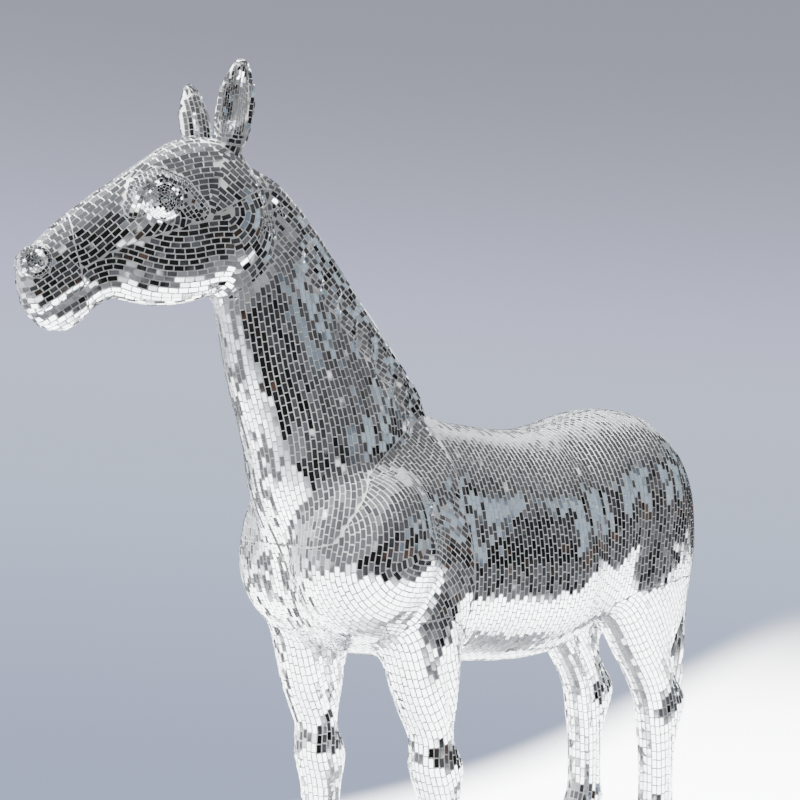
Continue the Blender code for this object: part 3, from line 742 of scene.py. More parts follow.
# %% [markdown]
# ## Walking over the skin
# A mosaicist lays one row along a line, then the next beside it, and so on. Each row is as far
# from the first line everywhere, walked over the surface. That distance is found by sweeping
# over all triangles: each one carries a straight wave front across itself, and the nearest front
# to arrive wins.

# %% Distance over the skin
FAR = 1000.0
corner = triangles.T.ravel()
left = triangles[:, [1, 2, 0]].T.ravel()
right = triangles[:, [2, 0, 1]].T.ravel()
order = np.argsort(corner, kind="stable")
corner, left, right = corner[order], left[order], right[order]
to_left, to_right = placed[left] - placed[corner], placed[right] - placed[corner]
ll = (to_left**2).sum(1)
lr = (to_left * to_right).sum(1)
rr = (to_right**2).sum(1)
spread = np.maximum(ll * rr - lr * lr, 1e-16)
q_ll, q_lr, q_rr = rr / spread, -lr / spread, ll / spread


def walk(start, inside, sweeps=400):
    """Least distance from the start line to each point inside, where start has the
    distances next to the line and FAR elsewhere. In each triangle the distance d at one
    corner solves the plane-wave equation for the distances at the other two, and where
    no wave arrives through the triangle, the shorter edge is walked."""
    keep = np.flatnonzero(inside[corner] & inside[left] & inside[right])
    c, a, b = corner[keep], left[keep], right[keep]
    first = np.flatnonzero(np.r_[True, c[1:] != c[:-1]])
    owner = c[first]
    qa, qm, qb = q_ll[keep], q_lr[keep], q_rr[keep]
    step_a, step_b = np.sqrt(ll[keep]), np.sqrt(rr[keep])
    total = qa + 2 * qm + qb
    reached = start.copy()
    for _ in range(sweeps):
        ta, tb = reached[a], reached[b]
        plain = np.minimum(ta + step_a, tb + step_b)
        middle = (qa + qm) * ta + (qm + qb) * tb
        root = middle**2 - total * (qa * ta**2 + 2 * qm * ta * tb + qb * tb**2 - 1)
        d = (middle + np.sqrt(np.maximum(root, 0))) / total
        through = (root >= 0) & (qa * (ta - d) + qm * (tb - d) < 0)
        through &= qm * (ta - d) + qb * (tb - d) < 0
        best = np.minimum.reduceat(np.where(through, d, plain), first)
        better = np.minimum(reached[owner], best)
        change = (reached[owner] - better).max()
        reached[owner] = better
        if change < 1e-6:
            break
    return reached


def start_line(field, inside):
    """Distances at the points next to where a field crosses zero, by its slope there."""
    value = field[triangles]
    crossing = (value.min(1) < 0) & (value.max(1) >= 0) & inside[triangles].all(1)
    steep = np.maximum(np.linalg.norm(slope(field)[crossing], axis=1), 1e-9)
    start = np.full(len(placed), FAR)
    np.minimum.at(start, triangles[crossing], np.abs(value[crossing]) / steep[:, None])
    return start


print(len(corner), "triangle corners to walk over")

# %% [markdown]
# ## Rows
# A row of tiles follows a line of equal distance. Each triangle holds a short piece of such a
# line. The pieces are strung together by doubling: each piece knows the one before it, then the
# one two before, four before, and so on, so even the longest row takes a few steps.

# %% Rows of equal distance
DOUBLINGS = 14


def row_lines(distance, inside, spacing):
    """All lines of equal distance, half a spacing from the start and then one apart."""
    value = distance[triangles]
    chosen = np.flatnonzero(inside[triangles].all(1) & (value.max(1) < FAR / 2))
    value = value[chosen]
    low = np.maximum(np.ceil(value.min(1) / spacing - 0.5), 0).astype(int)
    high = np.floor(value.max(1) / spacing - 0.5).astype(int)
    count = np.maximum(high - low + 1, 0)
    which = np.repeat(np.arange(len(chosen)), count)
    level = low[which] + np.arange(len(which)) - np.repeat(np.cumsum(count) - count, count)
    goal = (level + 0.5) * spacing
    points, value = triangles[chosen[which]], value[which]
    above = value >= goal[:, None]
    rising = ~above & np.roll(above, -1, axis=1)
    falling = above & ~np.roll(above, -1, axis=1)
    good = rising.any(1)
    which, level, goal, points, value = (x[good] for x in (which, level, goal, points, value))
    ends = []
    for edge in (rising[good].argmax(1), falling[good].argmax(1)):
        row = np.arange(len(edge))
        i, j = points[row, edge], points[row, (edge + 1) % 3]
        share = (goal - distance[i]) / (distance[j] - distance[i])
        place = placed[i] + share[:, None] * (placed[j] - placed[i])
        key = (np.minimum(i, j) * len(placed) + np.maximum(i, j)) * 512 + level
        ends.append((place, key))
    return chosen[which], level, ends[0], ends[1]


def string_together(head, tail, head_key, tail_key):
    """Orders the pieces along their lines. Returns the order, the line each piece is on,
    how far along it the piece starts, and whether the line closes on itself."""
    count = len(head)
    by_key = np.argsort(head_key)
    found = np.minimum(np.searchsorted(head_key[by_key], tail_key), count - 1)
    after = by_key[found]
    joined = head_key[after] == tail_key
    before = np.full(count, -1)
    before[after[joined]] = np.flatnonzero(joined)
    length = np.linalg.norm(tail - head, axis=1)
    self = np.arange(count)
    rank = np.empty(count, int)
    rank[np.argsort(head[:, 2], kind="stable")] = self
    lowest, jump = rank.copy(), np.where(before < 0, self, before)
    for _ in range(DOUBLINGS):
        lowest = np.minimum(lowest, lowest[jump])
        jump = jump[jump]
    closed = before[jump] >= 0
    before[closed & (lowest == rank)] = -1
    root = np.where(before < 0, self, before)
    walked = np.where(before < 0, 0, length[root])
    for _ in range(DOUBLINGS):
        walked = walked + walked[root]
        root = root[root]
    order = np.lexsort((walked, root))
    return order, root[order], walked[order], length[order], closed[order]


print("a row can be strung together from", 2**DOUBLINGS, "pieces")

# %% [markdown]
# ## Areas
# The layer divides the horse into areas, and starts each from a line of its own: the face from
# the ridge of the nose, the neck from the throat, the breast from its middle, the trunk from a
# girth line, each leg from its front. An area is a field that is positive inside, so two
# neighbours share one clean seam.

# %% Reach of the small areas
EAR_FOOT, EAR_REACH = 1.6, 5.5
HOLLOW_SHARE, HOLLOW_DEPTH = 0.62, 1.2
HOLLOW_START, HOLLOW_END = 0.20, 0.93
EYE_TILES = 3.4
LID_REACH = 2.3
EYE_INSIDE, NOSTRIL_INSIDE = 4, 1
NOSTRIL_TILES, NOSTRIL_RING = 1.4, 3.1
MANE_BAND = 8.5
TAIL_HALF = 8
LEG_INSIDE = 4.0
GIRTH_LINE = 12.0
CHEST_LINE = 32.0
print("the eye's shards reach", round(EYE_TILES * UNIT, 3), "m from its middle")

# %% The seams between areas, in side view
NECK_SEAM = [
    (70, 72), (60, 76), (57.5, 80.5), (52, 88.5), (45.4, 93), (39, 97), (30, 101), (24, 105),
]
HEAD_SEAM = [
    (76, 118), (73, 123), (69, 126.3), (65.4, 130.6), (63.9, 135), (64.6, 140.5), (66.6, 146), (66, 156),
]
FACE_SEAM = [
    (62, 146), (70, 142), (78, 137), (84.5, 134.3), (90, 132.5), (96, 130), (101, 126.5), (104, 123.5),
]
MUZZLE_SEAM = [(104, 142), (102.5, 132), (100.5, 124), (97.5, 112)]
MOUTH_LINE = STROKES[0][0]
BREAST_SEAM = [(31, 46), (30.5, 58), (29, 66), (29.5, 76), (31, 84), (30, 101), (30, 106)]
FORE_SEAM = [(24, 44), (27, 52), (30, 57.5), (37, 61), (45, 60), (51, 55), (54, 46)]
HIND_SEAM = [(-16, 40), (-16.5, 50), (-14.5, 56), (-14.5, 60), (-20, 62.5), (-32, 64.5), (-48, 66)]
TAIL_SEAM = [(-41, 106), (-43.4, 97), (-44.9, 88), (-45.3, 75), (-45.3, 20)]
print("the seam behind the jaw starts at", HEAD_SEAM[0], "and ends at", HEAD_SEAM[-1])

# %% Distances in side view
# A seam is carried straight on past both its ends, by this many times its end pieces.
PATH_RUN_ON = 60

forward, side, up = drawn.T
flat = drawn[:, [0, 2]]


def beside_path(path):
    """Distance from a path in side view, positive on its right as one walks along it."""
    path = np.array(path, float)
    ends = path[[0, -1]] + PATH_RUN_ON * (path[[0, -1]] - path[[1, -2]])
    path = np.vstack([ends[0], path, ends[1]])
    nearest = np.full(len(flat), np.inf)
    signed = np.zeros(len(flat))
    for start, end in zip(path, path[1:]):
        along = end - start
        share = np.clip((flat - start) @ along / (along @ along), 0, 1)
        gap = np.linalg.norm(flat - start - share[:, None] * along, axis=1)
        turn = (flat[:, 0] - start[0]) * along[1] - (flat[:, 1] - start[1]) * along[0]
        signed = np.where(gap < nearest, np.sign(turn) * gap, signed)
        nearest = np.minimum(nearest, gap)
    return signed


def away_from(place):
    """Distance in side view from a place given as (forward, side, up)."""
    return np.hypot(forward - place[0], up - place[2])


print("the point nearest the eye's middle is", away_from(EYE).min().round(2), "from it")

# %% Ears and their hollows
def ear_field(root, tip):
    """Positive on the ear that runs from its root to its tip."""
    root, tip = np.array(root), np.array(tip)
    axis = (tip - root) / np.linalg.norm(tip - root)
    along = (drawn - root) @ axis
    away = np.linalg.norm(drawn - root - along[:, None] * axis, axis=1)
    return np.minimum(along - EAR_FOOT, EAR_REACH - away)


def ear_axes(root, tip, faces):
    """Where each point is on an ear: its share of the length, how far it is across it,
    and how far it stands out on the hollow's side."""
    root, axis = np.array(root), np.array(tip) - np.array(root)
    share = (drawn - root) @ axis / (axis @ axis)
    from_axis = drawn - root - share[:, None] * axis
    return share, from_axis @ [-faces[1], faces[0], 0.0], from_axis @ [faces[0], faces[1], 0.0]


def hollow_field(root, tip, faces):
    """Positive in the hollow of an ear, which ends short of its rim."""
    share, across, outward = ear_axes(root, tip, faces)
    width = ear_width(np.clip(share, 0, 1))
    length = np.linalg.norm(np.array(tip) - np.array(root))
    ends = length * np.minimum(share - HOLLOW_START, HOLLOW_END - share)
    return np.minimum.reduce([HOLLOW_SHARE * width - np.abs(across), ends, outward + HOLLOW_DEPTH])


print(int((hollow_field(*LEFT_EAR) > 0).sum()), "points in the left ear's hollow")

# %% Fields for the areas
lids = [[EYE[0] + f, EYE[2] + u] for f, _, u in LID]
on_head = beside_path(HEAD_SEAM)
fields = {}
by_eye, by_nostril = np.abs(side) - EYE_INSIDE, np.abs(side) - NOSTRIL_INSIDE
fields["eye"] = np.minimum(EYE_TILES - away_from(EYE), by_eye)
fields["nostril"] = np.minimum(NOSTRIL_TILES - away_from(NOSTRIL), by_nostril)
fields["nostril_rim"] = np.minimum(NOSTRIL_RING - away_from(NOSTRIL), by_nostril)
fields["lid"] = np.minimum(LID_REACH - distance_to(flat, lids), by_eye)
fields["left_hollow"] = hollow_field(*LEFT_EAR)
fields["right_hollow"] = hollow_field(*RIGHT_EAR)
fields["left_ear"] = ear_field(*LEFT_EAR[:2])
fields["right_ear"] = ear_field(*RIGHT_EAR[:2])
fields["chin"] = np.minimum(beside_path(MOUTH_LINE), -beside_path(MUZZLE_SEAM))
fields["muzzle"] = -beside_path(MUZZLE_SEAM)
fields["face"] = np.minimum(on_head, -beside_path(FACE_SEAM))
fields["cheek"] = on_head
crest = [row[:2] for row in NECK[2:]]
on_neck = beside_path(NECK_SEAM)
fields["mane"] = np.minimum(on_neck, MANE_BAND - distance_to(flat, crest))
fields["neck"] = on_neck
fields["tail"] = np.minimum(beside_path(TAIL_SEAM), TAIL_HALF - np.abs(side))
print("sides of the seams, in points:", {name: int((f > 0).sum()) for name, f in fields.items()})

# %% [markdown]
# ## Where each area starts
# Each leg gets an area for its outside and one for its inside, so that the rows from its front
# meet in a clean seam behind, as on the real one.

# %% Legs, trunk and the order of the areas
SEAM_HEIGHT = 55
WHOLE_HORSE = 50.0


def leg_fields(name, seam, spread, leans, below):
    """Outer and inner halves of a left and a right leg, below the seam. The sign below is
    1 where the leg is on the right of the seam, and -1 where it is on its left."""
    for mark, lean in zip((-1, 1), leans):
        shift = lean[0] + (lean[1] - lean[0]) * SEAM_HEIGHT / LEG_TOP
        seam_here = below * beside_path([(f + shift, u) for f, u in seam])
        own = np.minimum(seam_here, mark * side - LEG_INSIDE)
        which = "left" if mark < 0 else "right"
        yield f"{which}_{name}_outer", np.minimum(own, mark * side - spread)
        yield f"{which}_{name}_inner", np.minimum(own, spread - mark * side)


fields.update(leg_fields("fore", FORE_SEAM, FORE_SPREAD, (LEFT_FORE_LEAN, RIGHT_FORE_LEAN), 1))
fields.update(leg_fields("hind", HIND_SEAM, HIND_SPREAD, (LEFT_HIND_LEAN, RIGHT_HIND_LEAN), -1))
fields["breast"] = beside_path(BREAST_SEAM)
fields["trunk"] = np.full(len(drawn), WHOLE_HORSE)

# Each area gets what those before it left free. The two halves of a leg share a seam
# already, so an outer half is taken off together with its inner half.
areas, free = {}, np.full(len(drawn), WHOLE_HORSE)
for name, field in fields.items():
    areas[name] = np.minimum(field, free)
    if name.endswith("_outer"):
        outer_half = field
    else:
        free = np.minimum(free, -field)
    if name.endswith("_inner"):
        free = np.minimum(free, -outer_half)
print({name: int((a > 0).sum()) for name, a in areas.items()})

# %% [markdown]
# ## Cutting a tile at a seam
# Where a tile crosses out of its area, it is nipped: its corners slide back along its long edges
# to the seam, and where a whole edge is out, across the tile. What is left too small goes.

# %% How tiles differ
# Shares of a tile's size, and slopes for how it is turned and tilted.
SEAM_MARGIN = 1.7
LEAST_SHARE = 0.1
SIZE_SPREAD = 0.03
WIDEST = 1.04
TURN_SPREAD = 0.018
TILT_SPREAD = 0.017
BOND_SPREAD = 0.1
rng = np.random.default_rng(7)
print("tiles tilt by about", round(math.degrees(TILT_SPREAD), 1), "degrees")

# %% Values between the points
def skin_values(tri, place, *fields_here):
    """Values of fields at places on triangles, by how near each corner is."""
    p = placed[triangles[tri]]
    whole = np.cross(p[:, 1] - p[:, 0], p[:, 2] - p[:, 0])
    size = np.maximum((whole**2).sum(1), 1e-18)
    w0 = (np.cross(p[:, 1] - place, p[:, 2] - place) * whole).sum(1) / size
    w1 = (np.cross(p[:, 2] - place, p[:, 0] - place) * whole).sum(1) / size
    share = np.stack([w0, w1, 1 - w0 - w1], axis=1)
    return [np.einsum("nk,nk...->n...", share, field[triangles[tri]]) for field in fields_here]


centre_of_first = placed[triangles[:1]].mean(1)
print("height there", skin_values(np.array([0]), centre_of_first, placed[:, 2])[0].round(3))

# %% Nipping a tile
def nip(corners, middle, value, rise, margin):
    """Slides corners that are out of the area back to its seam. value is the area's field
    at the middle, and rise its slope there."""
    at = value[:, None] + np.einsum("nkj,nj->nk", corners - middle[:, None], rise) - margin
    for pairs in (((0, 1), (3, 2)), ((0, 3), (1, 2))):
        for i, j in pairs + tuple((b, a) for a, b in pairs):
            out_here = (at[:, i] < 0) & (at[:, j] > 0)
            share = np.where(out_here, at[:, i] / np.where(out_here, at[:, i] - at[:, j], 1), 0)
            corners[:, i] += share[:, None] * (corners[:, j] - corners[:, i])
            at[:, i] = np.where(out_here, 0, at[:, i])
    across = np.cross(corners[:, 2] - corners[:, 0], corners[:, 3] - corners[:, 1])
    return corners, np.linalg.norm(across, axis=1) / 2, at.min(1) > -1e-6


print("a tile is kept from", LEAST_SHARE, "of its full size")

# %% Laying tiles
def lay(area, start, length, width, gap, lean=TILT_SPREAD, bond=0.5):
    """Tiles of that length and width over one area, in rows from its start line. Returns
    their corners and their outward directions."""
    inside = area > -SEAM_MARGIN
    distance = walk(np.where(inside, start, FAR), inside)
    tri, level, (head, head_key), (tail, tail_key) = row_lines(distance, inside, width + gap)
    order, line, along, size, closed = string_together(head, tail, head_key, tail_key)
    tri, level, head, tail = tri[order], level[order], head[order], tail[order]
    first = np.flatnonzero(np.r_[True, line[1:] != line[:-1]])
    last = np.r_[first[1:], len(line)] - 1
    total = along[last] + size[last]
    shut = closed[first]
    pitch = length + gap
    whole = np.maximum(np.round(total / pitch), 1)
    step = np.where(shut, total / whole, pitch)
    count = np.where(shut, whole, np.floor(total / pitch) + 2).astype(int)
    row = np.repeat(np.arange(len(first)), count)
    place = np.arange(len(row)) - np.repeat(np.cumsum(count) - count, count)
    lag = bond * (level[first] % 2) + rng.uniform(-BOND_SPREAD, BOND_SPREAD, len(first))
    middle = (place + 0.5 - lag[row]) * step[row]
    base = np.cumsum(total) - total
    owner = np.repeat(np.arange(len(first)), last - first + 1)
    mark = base[owner] + along

    def point(s):
        """The places at distances s along the tiles' own rows, and the triangles there."""
        s = np.where(shut[row], s % total[row], np.clip(s, 0, total[row]))
        where = np.searchsorted(mark, base[row] + s, side="right") - 1
        where = np.clip(where, first[row], last[row])
        share = np.clip((s - along[where]) / np.maximum(size[where], 1e-9), 0, 1)
        return head[where] + share[:, None] * (tail[where] - head[where]), tri[where]

    half = 0.5 * np.minimum(length, 0.5 * total[row])
    centre, tri_here = point(middle)
    ahead = point(middle + half)[0] - point(middle - half)[0]
    outward_here, value = skin_values(tri_here, centre, out, area)
    size_ahead = np.linalg.norm(ahead, axis=1)
    fine = (size_ahead > 0.3 * half) & (middle > -0.5 * length) & (middle < total[row] + 0.5 * length)
    centre, tri_here, ahead, outward_here, value, size_ahead = (
        x[fine] for x in (centre, tri_here, ahead, outward_here, value, size_ahead)
    )
    ahead /= size_ahead[:, None]
    outward_here -= (outward_here * ahead).sum(1)[:, None] * ahead
    outward_here /= np.linalg.norm(outward_here, axis=1)[:, None]
    across = np.cross(outward_here, ahead)
    spreads = np.array([TURN_SPREAD, lean, lean])[:, None, None]
    turn, tilt_a, tilt_b = rng.normal(0, 1, (3, len(centre), 1)) * spreads
    ahead, across = ahead + turn * across, across - turn * ahead
    ahead = ahead - tilt_a * outward_here
    across = across - tilt_b * outward_here
    grown = 1 + rng.normal(0, SIZE_SPREAD, (2, len(centre), 1))
    half_a, half_b = 0.5 * length * grown[0], 0.5 * width * np.minimum(grown[1], WIDEST)
    corners = np.stack([
        centre - half_a * ahead - half_b * across,
        centre + half_a * ahead - half_b * across,
        centre + half_a * ahead + half_b * across,
        centre - half_a * ahead + half_b * across,
    ], axis=1)
    corners, left_over, good = nip(corners, centre, value, slope(area)[tri_here], 0.5 * gap / UNIT)
    good &= left_over > LEAST_SHARE * length * width
    face = np.cross(ahead, across)
    face /= np.linalg.norm(face, axis=1)[:, None]
    return corners[good], face[good]


print("each row is shifted by up to", BOND_SPREAD, "of a tile from a perfect bond")

# %% [markdown]
# ## The rows of each area
# The common tile is ten by twenty millimetres. The muzzle, mane and ears take smaller ones, the
# eyes and nostrils the smallest, and the tail long strips. Shards are glued less level than the
# rest, which makes the eyes and nostrils sparkle.

# %% Kinds of tile
# Length, width and gap in metres, and for the shards how much they lean every way
GAP = 0.0026
COMMON = (0.0200, 0.0100, GAP)
SMALL = (0.0125, 0.0088, 0.0024)
MANE_TILE = (0.0135, 0.0092, 0.0026)
JOWL_ROWS = 6
MUZZLE_TILE = (0.0165, 0.0096, 0.0024)
LID_TILE = (0.0090, 0.0078, 0.0018)
RIM_TILE = (0.0075, 0.0062, 0.0014, 0.08)
SHARD = (0.0062, 0.0046, 0.0011, 0.16)
SPLINTER = (0.0105, 0.0044, 0.0012, 0.05)
STRIP = (0.0380, 0.0092, GAP)
print("common tile", COMMON[0] * 1000, "by", COMMON[1] * 1000, "mm")

# %% Start lines
# The middle line runs a hair beside the middle, so that no point lies right on it.
BESIDE_MIDDLE = 0.01
EYE_MIDDLE, NOSTRIL_MIDDLE = 0.35, 0.25
LIPS_END = 96
FACE_BOTTOM = 118
CREST_SHARE = 1.4
FLANK_FROM = 3
EAR_BACK = 0.5
UNDER_HEAD = ([60, 85, 110], [132, 131, 124])

middle_line = side + BESIDE_MIDDLE
everywhere = np.ones(len(drawn), bool)
facing_front, facing_back = out[:, 0] < 0, out[:, 0] > 0
far_from_crest = distance_to(flat, crest) > CREST_SHARE * MANE_BAND
under_head = up < np.interp(forward, *UNDER_HEAD)
jaw_start, jowl_start = start_line(middle_line, under_head), start_line(on_head, everywhere)
chest_start = start_line(middle_line, forward > CHEST_LINE)


def ear_start(root, tip, faces):
    """The line down the back of an ear."""
    _, across, outward = ear_axes(root, tip, faces)
    return start_line(across, outward < EAR_BACK)


def hollow_start(root, tip, faces):
    """The line down the middle of an ear's hollow."""
    _, across, outward = ear_axes(root, tip, faces)
    return start_line(across, outward > -HOLLOW_DEPTH)


on_flank, beside_nose = np.abs(side) > FLANK_FROM, np.abs(side) > NOSTRIL_INSIDE
nostril_ring = away_from(NOSTRIL) - NOSTRIL_MIDDLE
mouth_start = start_line(beside_path(MOUTH_LINE), forward > LIPS_END)
starts = {
    "eye": (start_line(away_from(EYE) - EYE_MIDDLE, on_flank), SHARD),
    "nostril": (start_line(nostril_ring, beside_nose), SHARD),
    "nostril_rim": (start_line(nostril_ring - NOSTRIL_TILES, beside_nose), RIM_TILE),
    "left_ear": (ear_start(*LEFT_EAR), SMALL),
    "right_ear": (ear_start(*RIGHT_EAR), SMALL),
    "lid": (start_line(beside_path(lids), np.abs(side) > EYE_INSIDE), LID_TILE),
    "left_hollow": (hollow_start(*LEFT_EAR), SPLINTER),
    "right_hollow": (hollow_start(*RIGHT_EAR), SPLINTER),
    "chin": (mouth_start, MUZZLE_TILE),
    "muzzle": (mouth_start, MUZZLE_TILE),
    "face": (start_line(middle_line, up > FACE_BOTTOM), COMMON),
    "cheek": (np.minimum(jaw_start, jowl_start + JOWL_ROWS * (COMMON[1] + GAP)), COMMON),
    "mane": (start_line(middle_line, ~far_from_crest), MANE_TILE),
    "neck": (start_line(middle_line, far_from_crest), COMMON),
    "tail": (start_line(middle_line, facing_back), STRIP),
    "breast": (chest_start, COMMON),
    "trunk": (start_line(forward - GIRTH_LINE, everywhere), COMMON),
}
for which, mark in (("left", -1), ("right", 1)):
    for name, spread in (("fore", FORE_SPREAD), ("hind", HIND_SPREAD)):
        line = start_line(mark * side - spread, facing_front)
        starts[f"{which}_{name}_outer"] = (line, COMMON)
        starts[f"{which}_{name}_inner"] = (line, COMMON)
print(len(starts), "areas with a start line")

# %% Tiles for every area
laid = {name: lay(areas[name], start, *tile) for name, (start, tile) in starts.items()}
print({name: len(tiles[0]) for name, tiles in laid.items()})

# %% [markdown]
# ## Tiles that collide
# Where two rows close in on each other, two tiles can overlap. The deepest overlaps are settled
# first: the larger of the two tiles stays, and the smaller is left out.

# %% Clearing overlaps
OVERLAP = 0.0012
NEIGHBOURS = 0.024
FACING_ALIKE = 0.3


def overlapping(corners, face, reach):
    """Pairs of tiles whose corners cross by more than OVERLAP along both tiles' edges."""
    middle = corners.mean(1)
    tree = KDTree(len(middle))
    for i, place in enumerate(middle):
        tree.insert(place, i)
    tree.balance()
    near = [[found[1] for found in tree.find_range(place, reach)] for place in middle]
    pairs = np.array([(i, j) for i, others in enumerate(near) for j in others if j > i])
    pairs = pairs[(face[pairs[:, 0]] * face[pairs[:, 1]]).sum(1) > FACING_ALIKE]
    depth = np.full(len(pairs), np.inf)
    for one, other in ((0, 1), (1, 0)):
        a, b = corners[pairs[:, one]], corners[pairs[:, other]]
        for i, j in ((0, 1), (1, 2), (2, 3), (3, 0)):
            edge = a[:, j] - a[:, i]
            size = np.linalg.norm(edge, axis=1)
            inward = np.cross(face[pairs[:, one]], edge) / np.maximum(size, 1e-9)[:, None]
            reach_in = ((b - a[:, i : i + 1]) * inward[:, None]).sum(2).max(1)
            depth = np.where(size > 1e-4, np.minimum(depth, reach_in), depth)
    return pairs[depth > OVERLAP], depth[depth > OVERLAP]


names = list(laid)
corners = np.concatenate([laid[name][0] for name in names])
faces_out = np.concatenate([laid[name][1] for name in names])
owner = np.concatenate([np.full(len(laid[name][0]), k) for k, name in enumerate(names)])
diagonals = corners[:, 2] - corners[:, 0], corners[:, 3] - corners[:, 1]
area_of_tile = np.linalg.norm(np.cross(*diagonals), axis=1)
clash, depth = overlapping(corners, faces_out, NEIGHBOURS)
kept = np.ones(len(corners), bool)
for i, j in clash[np.argsort(-depth, kind="stable")]:
    if kept[i] and kept[j]:
        kept[j if area_of_tile[j] <= area_of_tile[i] else i] = False
print(len(corners), "tiles laid,", int((~kept).sum()), "left out for overlapping")

# %% [markdown]
# ## Mirror tiles as meshes
# Each tile is a flat closed slab two millimetres thick, half sunk in the grout. Its own tone is
# kept with it, because hand-cut mirrors come from different sheets and age differently.

# %% Slabs
TILE_THICKNESS = 0.0020
TILE_RISE = 0.0007
SLAB = np.array([[0, 1, 2, 3], [7, 6, 5, 4], [0, 4, 5, 1], [1, 5, 6, 2], [2, 6, 7, 3], [3, 7, 4, 0]])
SLAB_POINTS = 8


def mesh_piece(name, points, quads_here, smooth, material):
    """A mesh object at the origin from an array of points and one of quads."""
    mesh = bpy.data.meshes.new(name)
    mesh.vertices.add(len(points))
    mesh.vertices.foreach_set("co", np.ascontiguousarray(points, dtype=np.float32).ravel())
    mesh.loops.add(quads_here.size)
    mesh.loops.foreach_set("vertex_index", quads_here.ravel().astype(np.int32))
    mesh.polygons.add(len(quads_here))
    mesh.polygons.foreach_set("loop_start", np.arange(0, quads_here.size, 4, dtype=np.int32))
    mesh.update(calc_edges=True)
    mesh.polygons.foreach_set("use_smooth", np.full(len(quads_here), smooth))
    mesh.materials.append(material)
    obj = bpy.data.objects.new(name, mesh)
    bpy.context.scene.collection.objects.link(obj)
    return obj


def slabs(name, corners, face, material):
    """Closed slabs with the given top corners, and a tone of its own for each."""
    top = corners + TILE_RISE * face[:, None]
    low = top - TILE_THICKNESS * face[:, None]
    points = np.concatenate([top, low], axis=1).reshape(-1, 3)
    quads_here = SLAB[None] + SLAB_POINTS * np.arange(len(corners))[:, None, None]
    quads_here = quads_here.reshape(-1, 4)
    piece = mesh_piece(name, points, quads_here, False, material)
    tone = piece.data.attributes.new("tile_tone", "FLOAT", "FACE")
    tones = np.repeat(rng.random(len(corners)), len(SLAB))
    tone.data.foreach_set("value", tones.astype(np.float32))
    return piece


print("each tile is a slab of", len(SLAB), "faces,", TILE_THICKNESS * 1000, "mm thick")

# %% [markdown]
# ## Finishes
# Silvered glass is a metal under a smooth clear face: almost all of its look is what it
# reflects. The differences between tiles, a little haze and a few greyed ones, keep it from
# looking like one bent sheet. Grout is a matt, slightly sandy white.

# %% Helpers for finishes
def new_material(name):
    """A material with its node tree and its main shader."""
    material = bpy.data.materials.new(name)
    material.use_nodes = True
    tree = material.node_tree
    return material, tree, tree.nodes["Principled BSDF"]


def ramp(tree, source, stops):
    """A colour ramp over a value, with (position, colour) stops."""
    node = tree.nodes.new("ShaderNodeValToRGB")
    while len(node.color_ramp.elements) < len(stops):
        node.color_ramp.elements.new(0.5)
    for element, (position, colour) in zip(node.color_ramp.elements, stops):
        element.position = position
        element.color = (*colour, 1)
    tree.links.new(source, node.inputs["Fac"])
    return node.outputs["Color"]


def noise(tree, scale, detail=2):
    """Soft patches in the object's own space: the larger the scale, the smaller they are."""
    node = tree.nodes.new("ShaderNodeTexNoise")
    place = tree.nodes.new("ShaderNodeTexCoord")
    node.inputs["Scale"].default_value = scale
    node.inputs["Detail"].default_value = detail
    tree.links.new(place.outputs["Object"], node.inputs["Vector"])
    return node.outputs["Fac"]


def bump(tree, shader, height, strength, distance):
    """Tiny relief on a shader, from a height between 0 and 1 times a distance in metres."""
    node = tree.nodes.new("ShaderNodeBump")
    node.inputs["Strength"].default_value = strength
    node.inputs["Distance"].default_value = distance
    tree.links.new(height, node.inputs["Height"])
    tree.links.new(node.outputs["Normal"], shader.inputs["Normal"])


print("helpers ready: new_material, ramp, noise, bump")

# %% The three finishes
def mirror_glass():
    """Silvered glass, each tile with its own tone from grey to clear, and faint haze."""
    material, tree, shader = new_material("silvered_glass")
    shader.inputs["Metallic"].default_value = 1.0
    tone = tree.nodes.new("ShaderNodeAttribute")
    tone.attribute_name = "tile_tone"
    colour = ramp(tree, tone.outputs["Fac"], [
        (0.0, (0.62, 0.64, 0.66)),
        (0.12, (0.82, 0.85, 0.87)),
        (0.6, (0.90, 0.92, 0.94)),
        (1.0, (0.95, 0.96, 0.97)),
    ])
    tree.links.new(colour, shader.inputs["Base Color"])
    haze = ramp(tree, noise(tree, 60.0), [(0.35, (0.02,) * 3), (0.75, (0.075,) * 3)])
    tree.links.new(haze, shader.inputs["Roughness"])
    return material


def grout():
    """White grout, sandy, and greyer in soft patches where hands have been."""
    material, tree, shader = new_material("white_grout")
    shader.inputs["Roughness"].default_value = 0.8
    colour = ramp(tree, noise(tree, 9.0, 4), [(0.3, (0.70, 0.70, 0.69)), (0.6, (0.86, 0.86, 0.85))])
    tree.links.new(colour, shader.inputs["Base Color"])
    bump(tree, shader, noise(tree, 900.0), 0.4, 0.0004)
    return material


def lacquer():
    """Satin white lacquer with the faint ripple of a roller."""
    material, tree, shader = new_material("satin_lacquer")
    colour = ramp(tree, noise(tree, 5.0, 3), [(0.3, (0.76, 0.76, 0.77)), (0.7, (0.82, 0.82, 0.83))])
    tree.links.new(colour, shader.inputs["Base Color"])
    rough = ramp(tree, noise(tree, 30.0), [(0.3, (0.30,) * 3), (0.7, (0.42,) * 3)])
    tree.links.new(rough, shader.inputs["Roughness"])
    bump(tree, shader, noise(tree, 140.0), 0.15, 0.0005)
    return material


glass, grout_white, base_white = mirror_glass(), grout(), lacquer()
print("finishes:", glass.name, grout_white.name, base_white.name)

# %% [markdown]
# ## The dressed horse
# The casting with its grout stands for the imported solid. The tiles ride with it, one piece for
# each part of the body. The base stays as it was packed, and gets its lacquer.

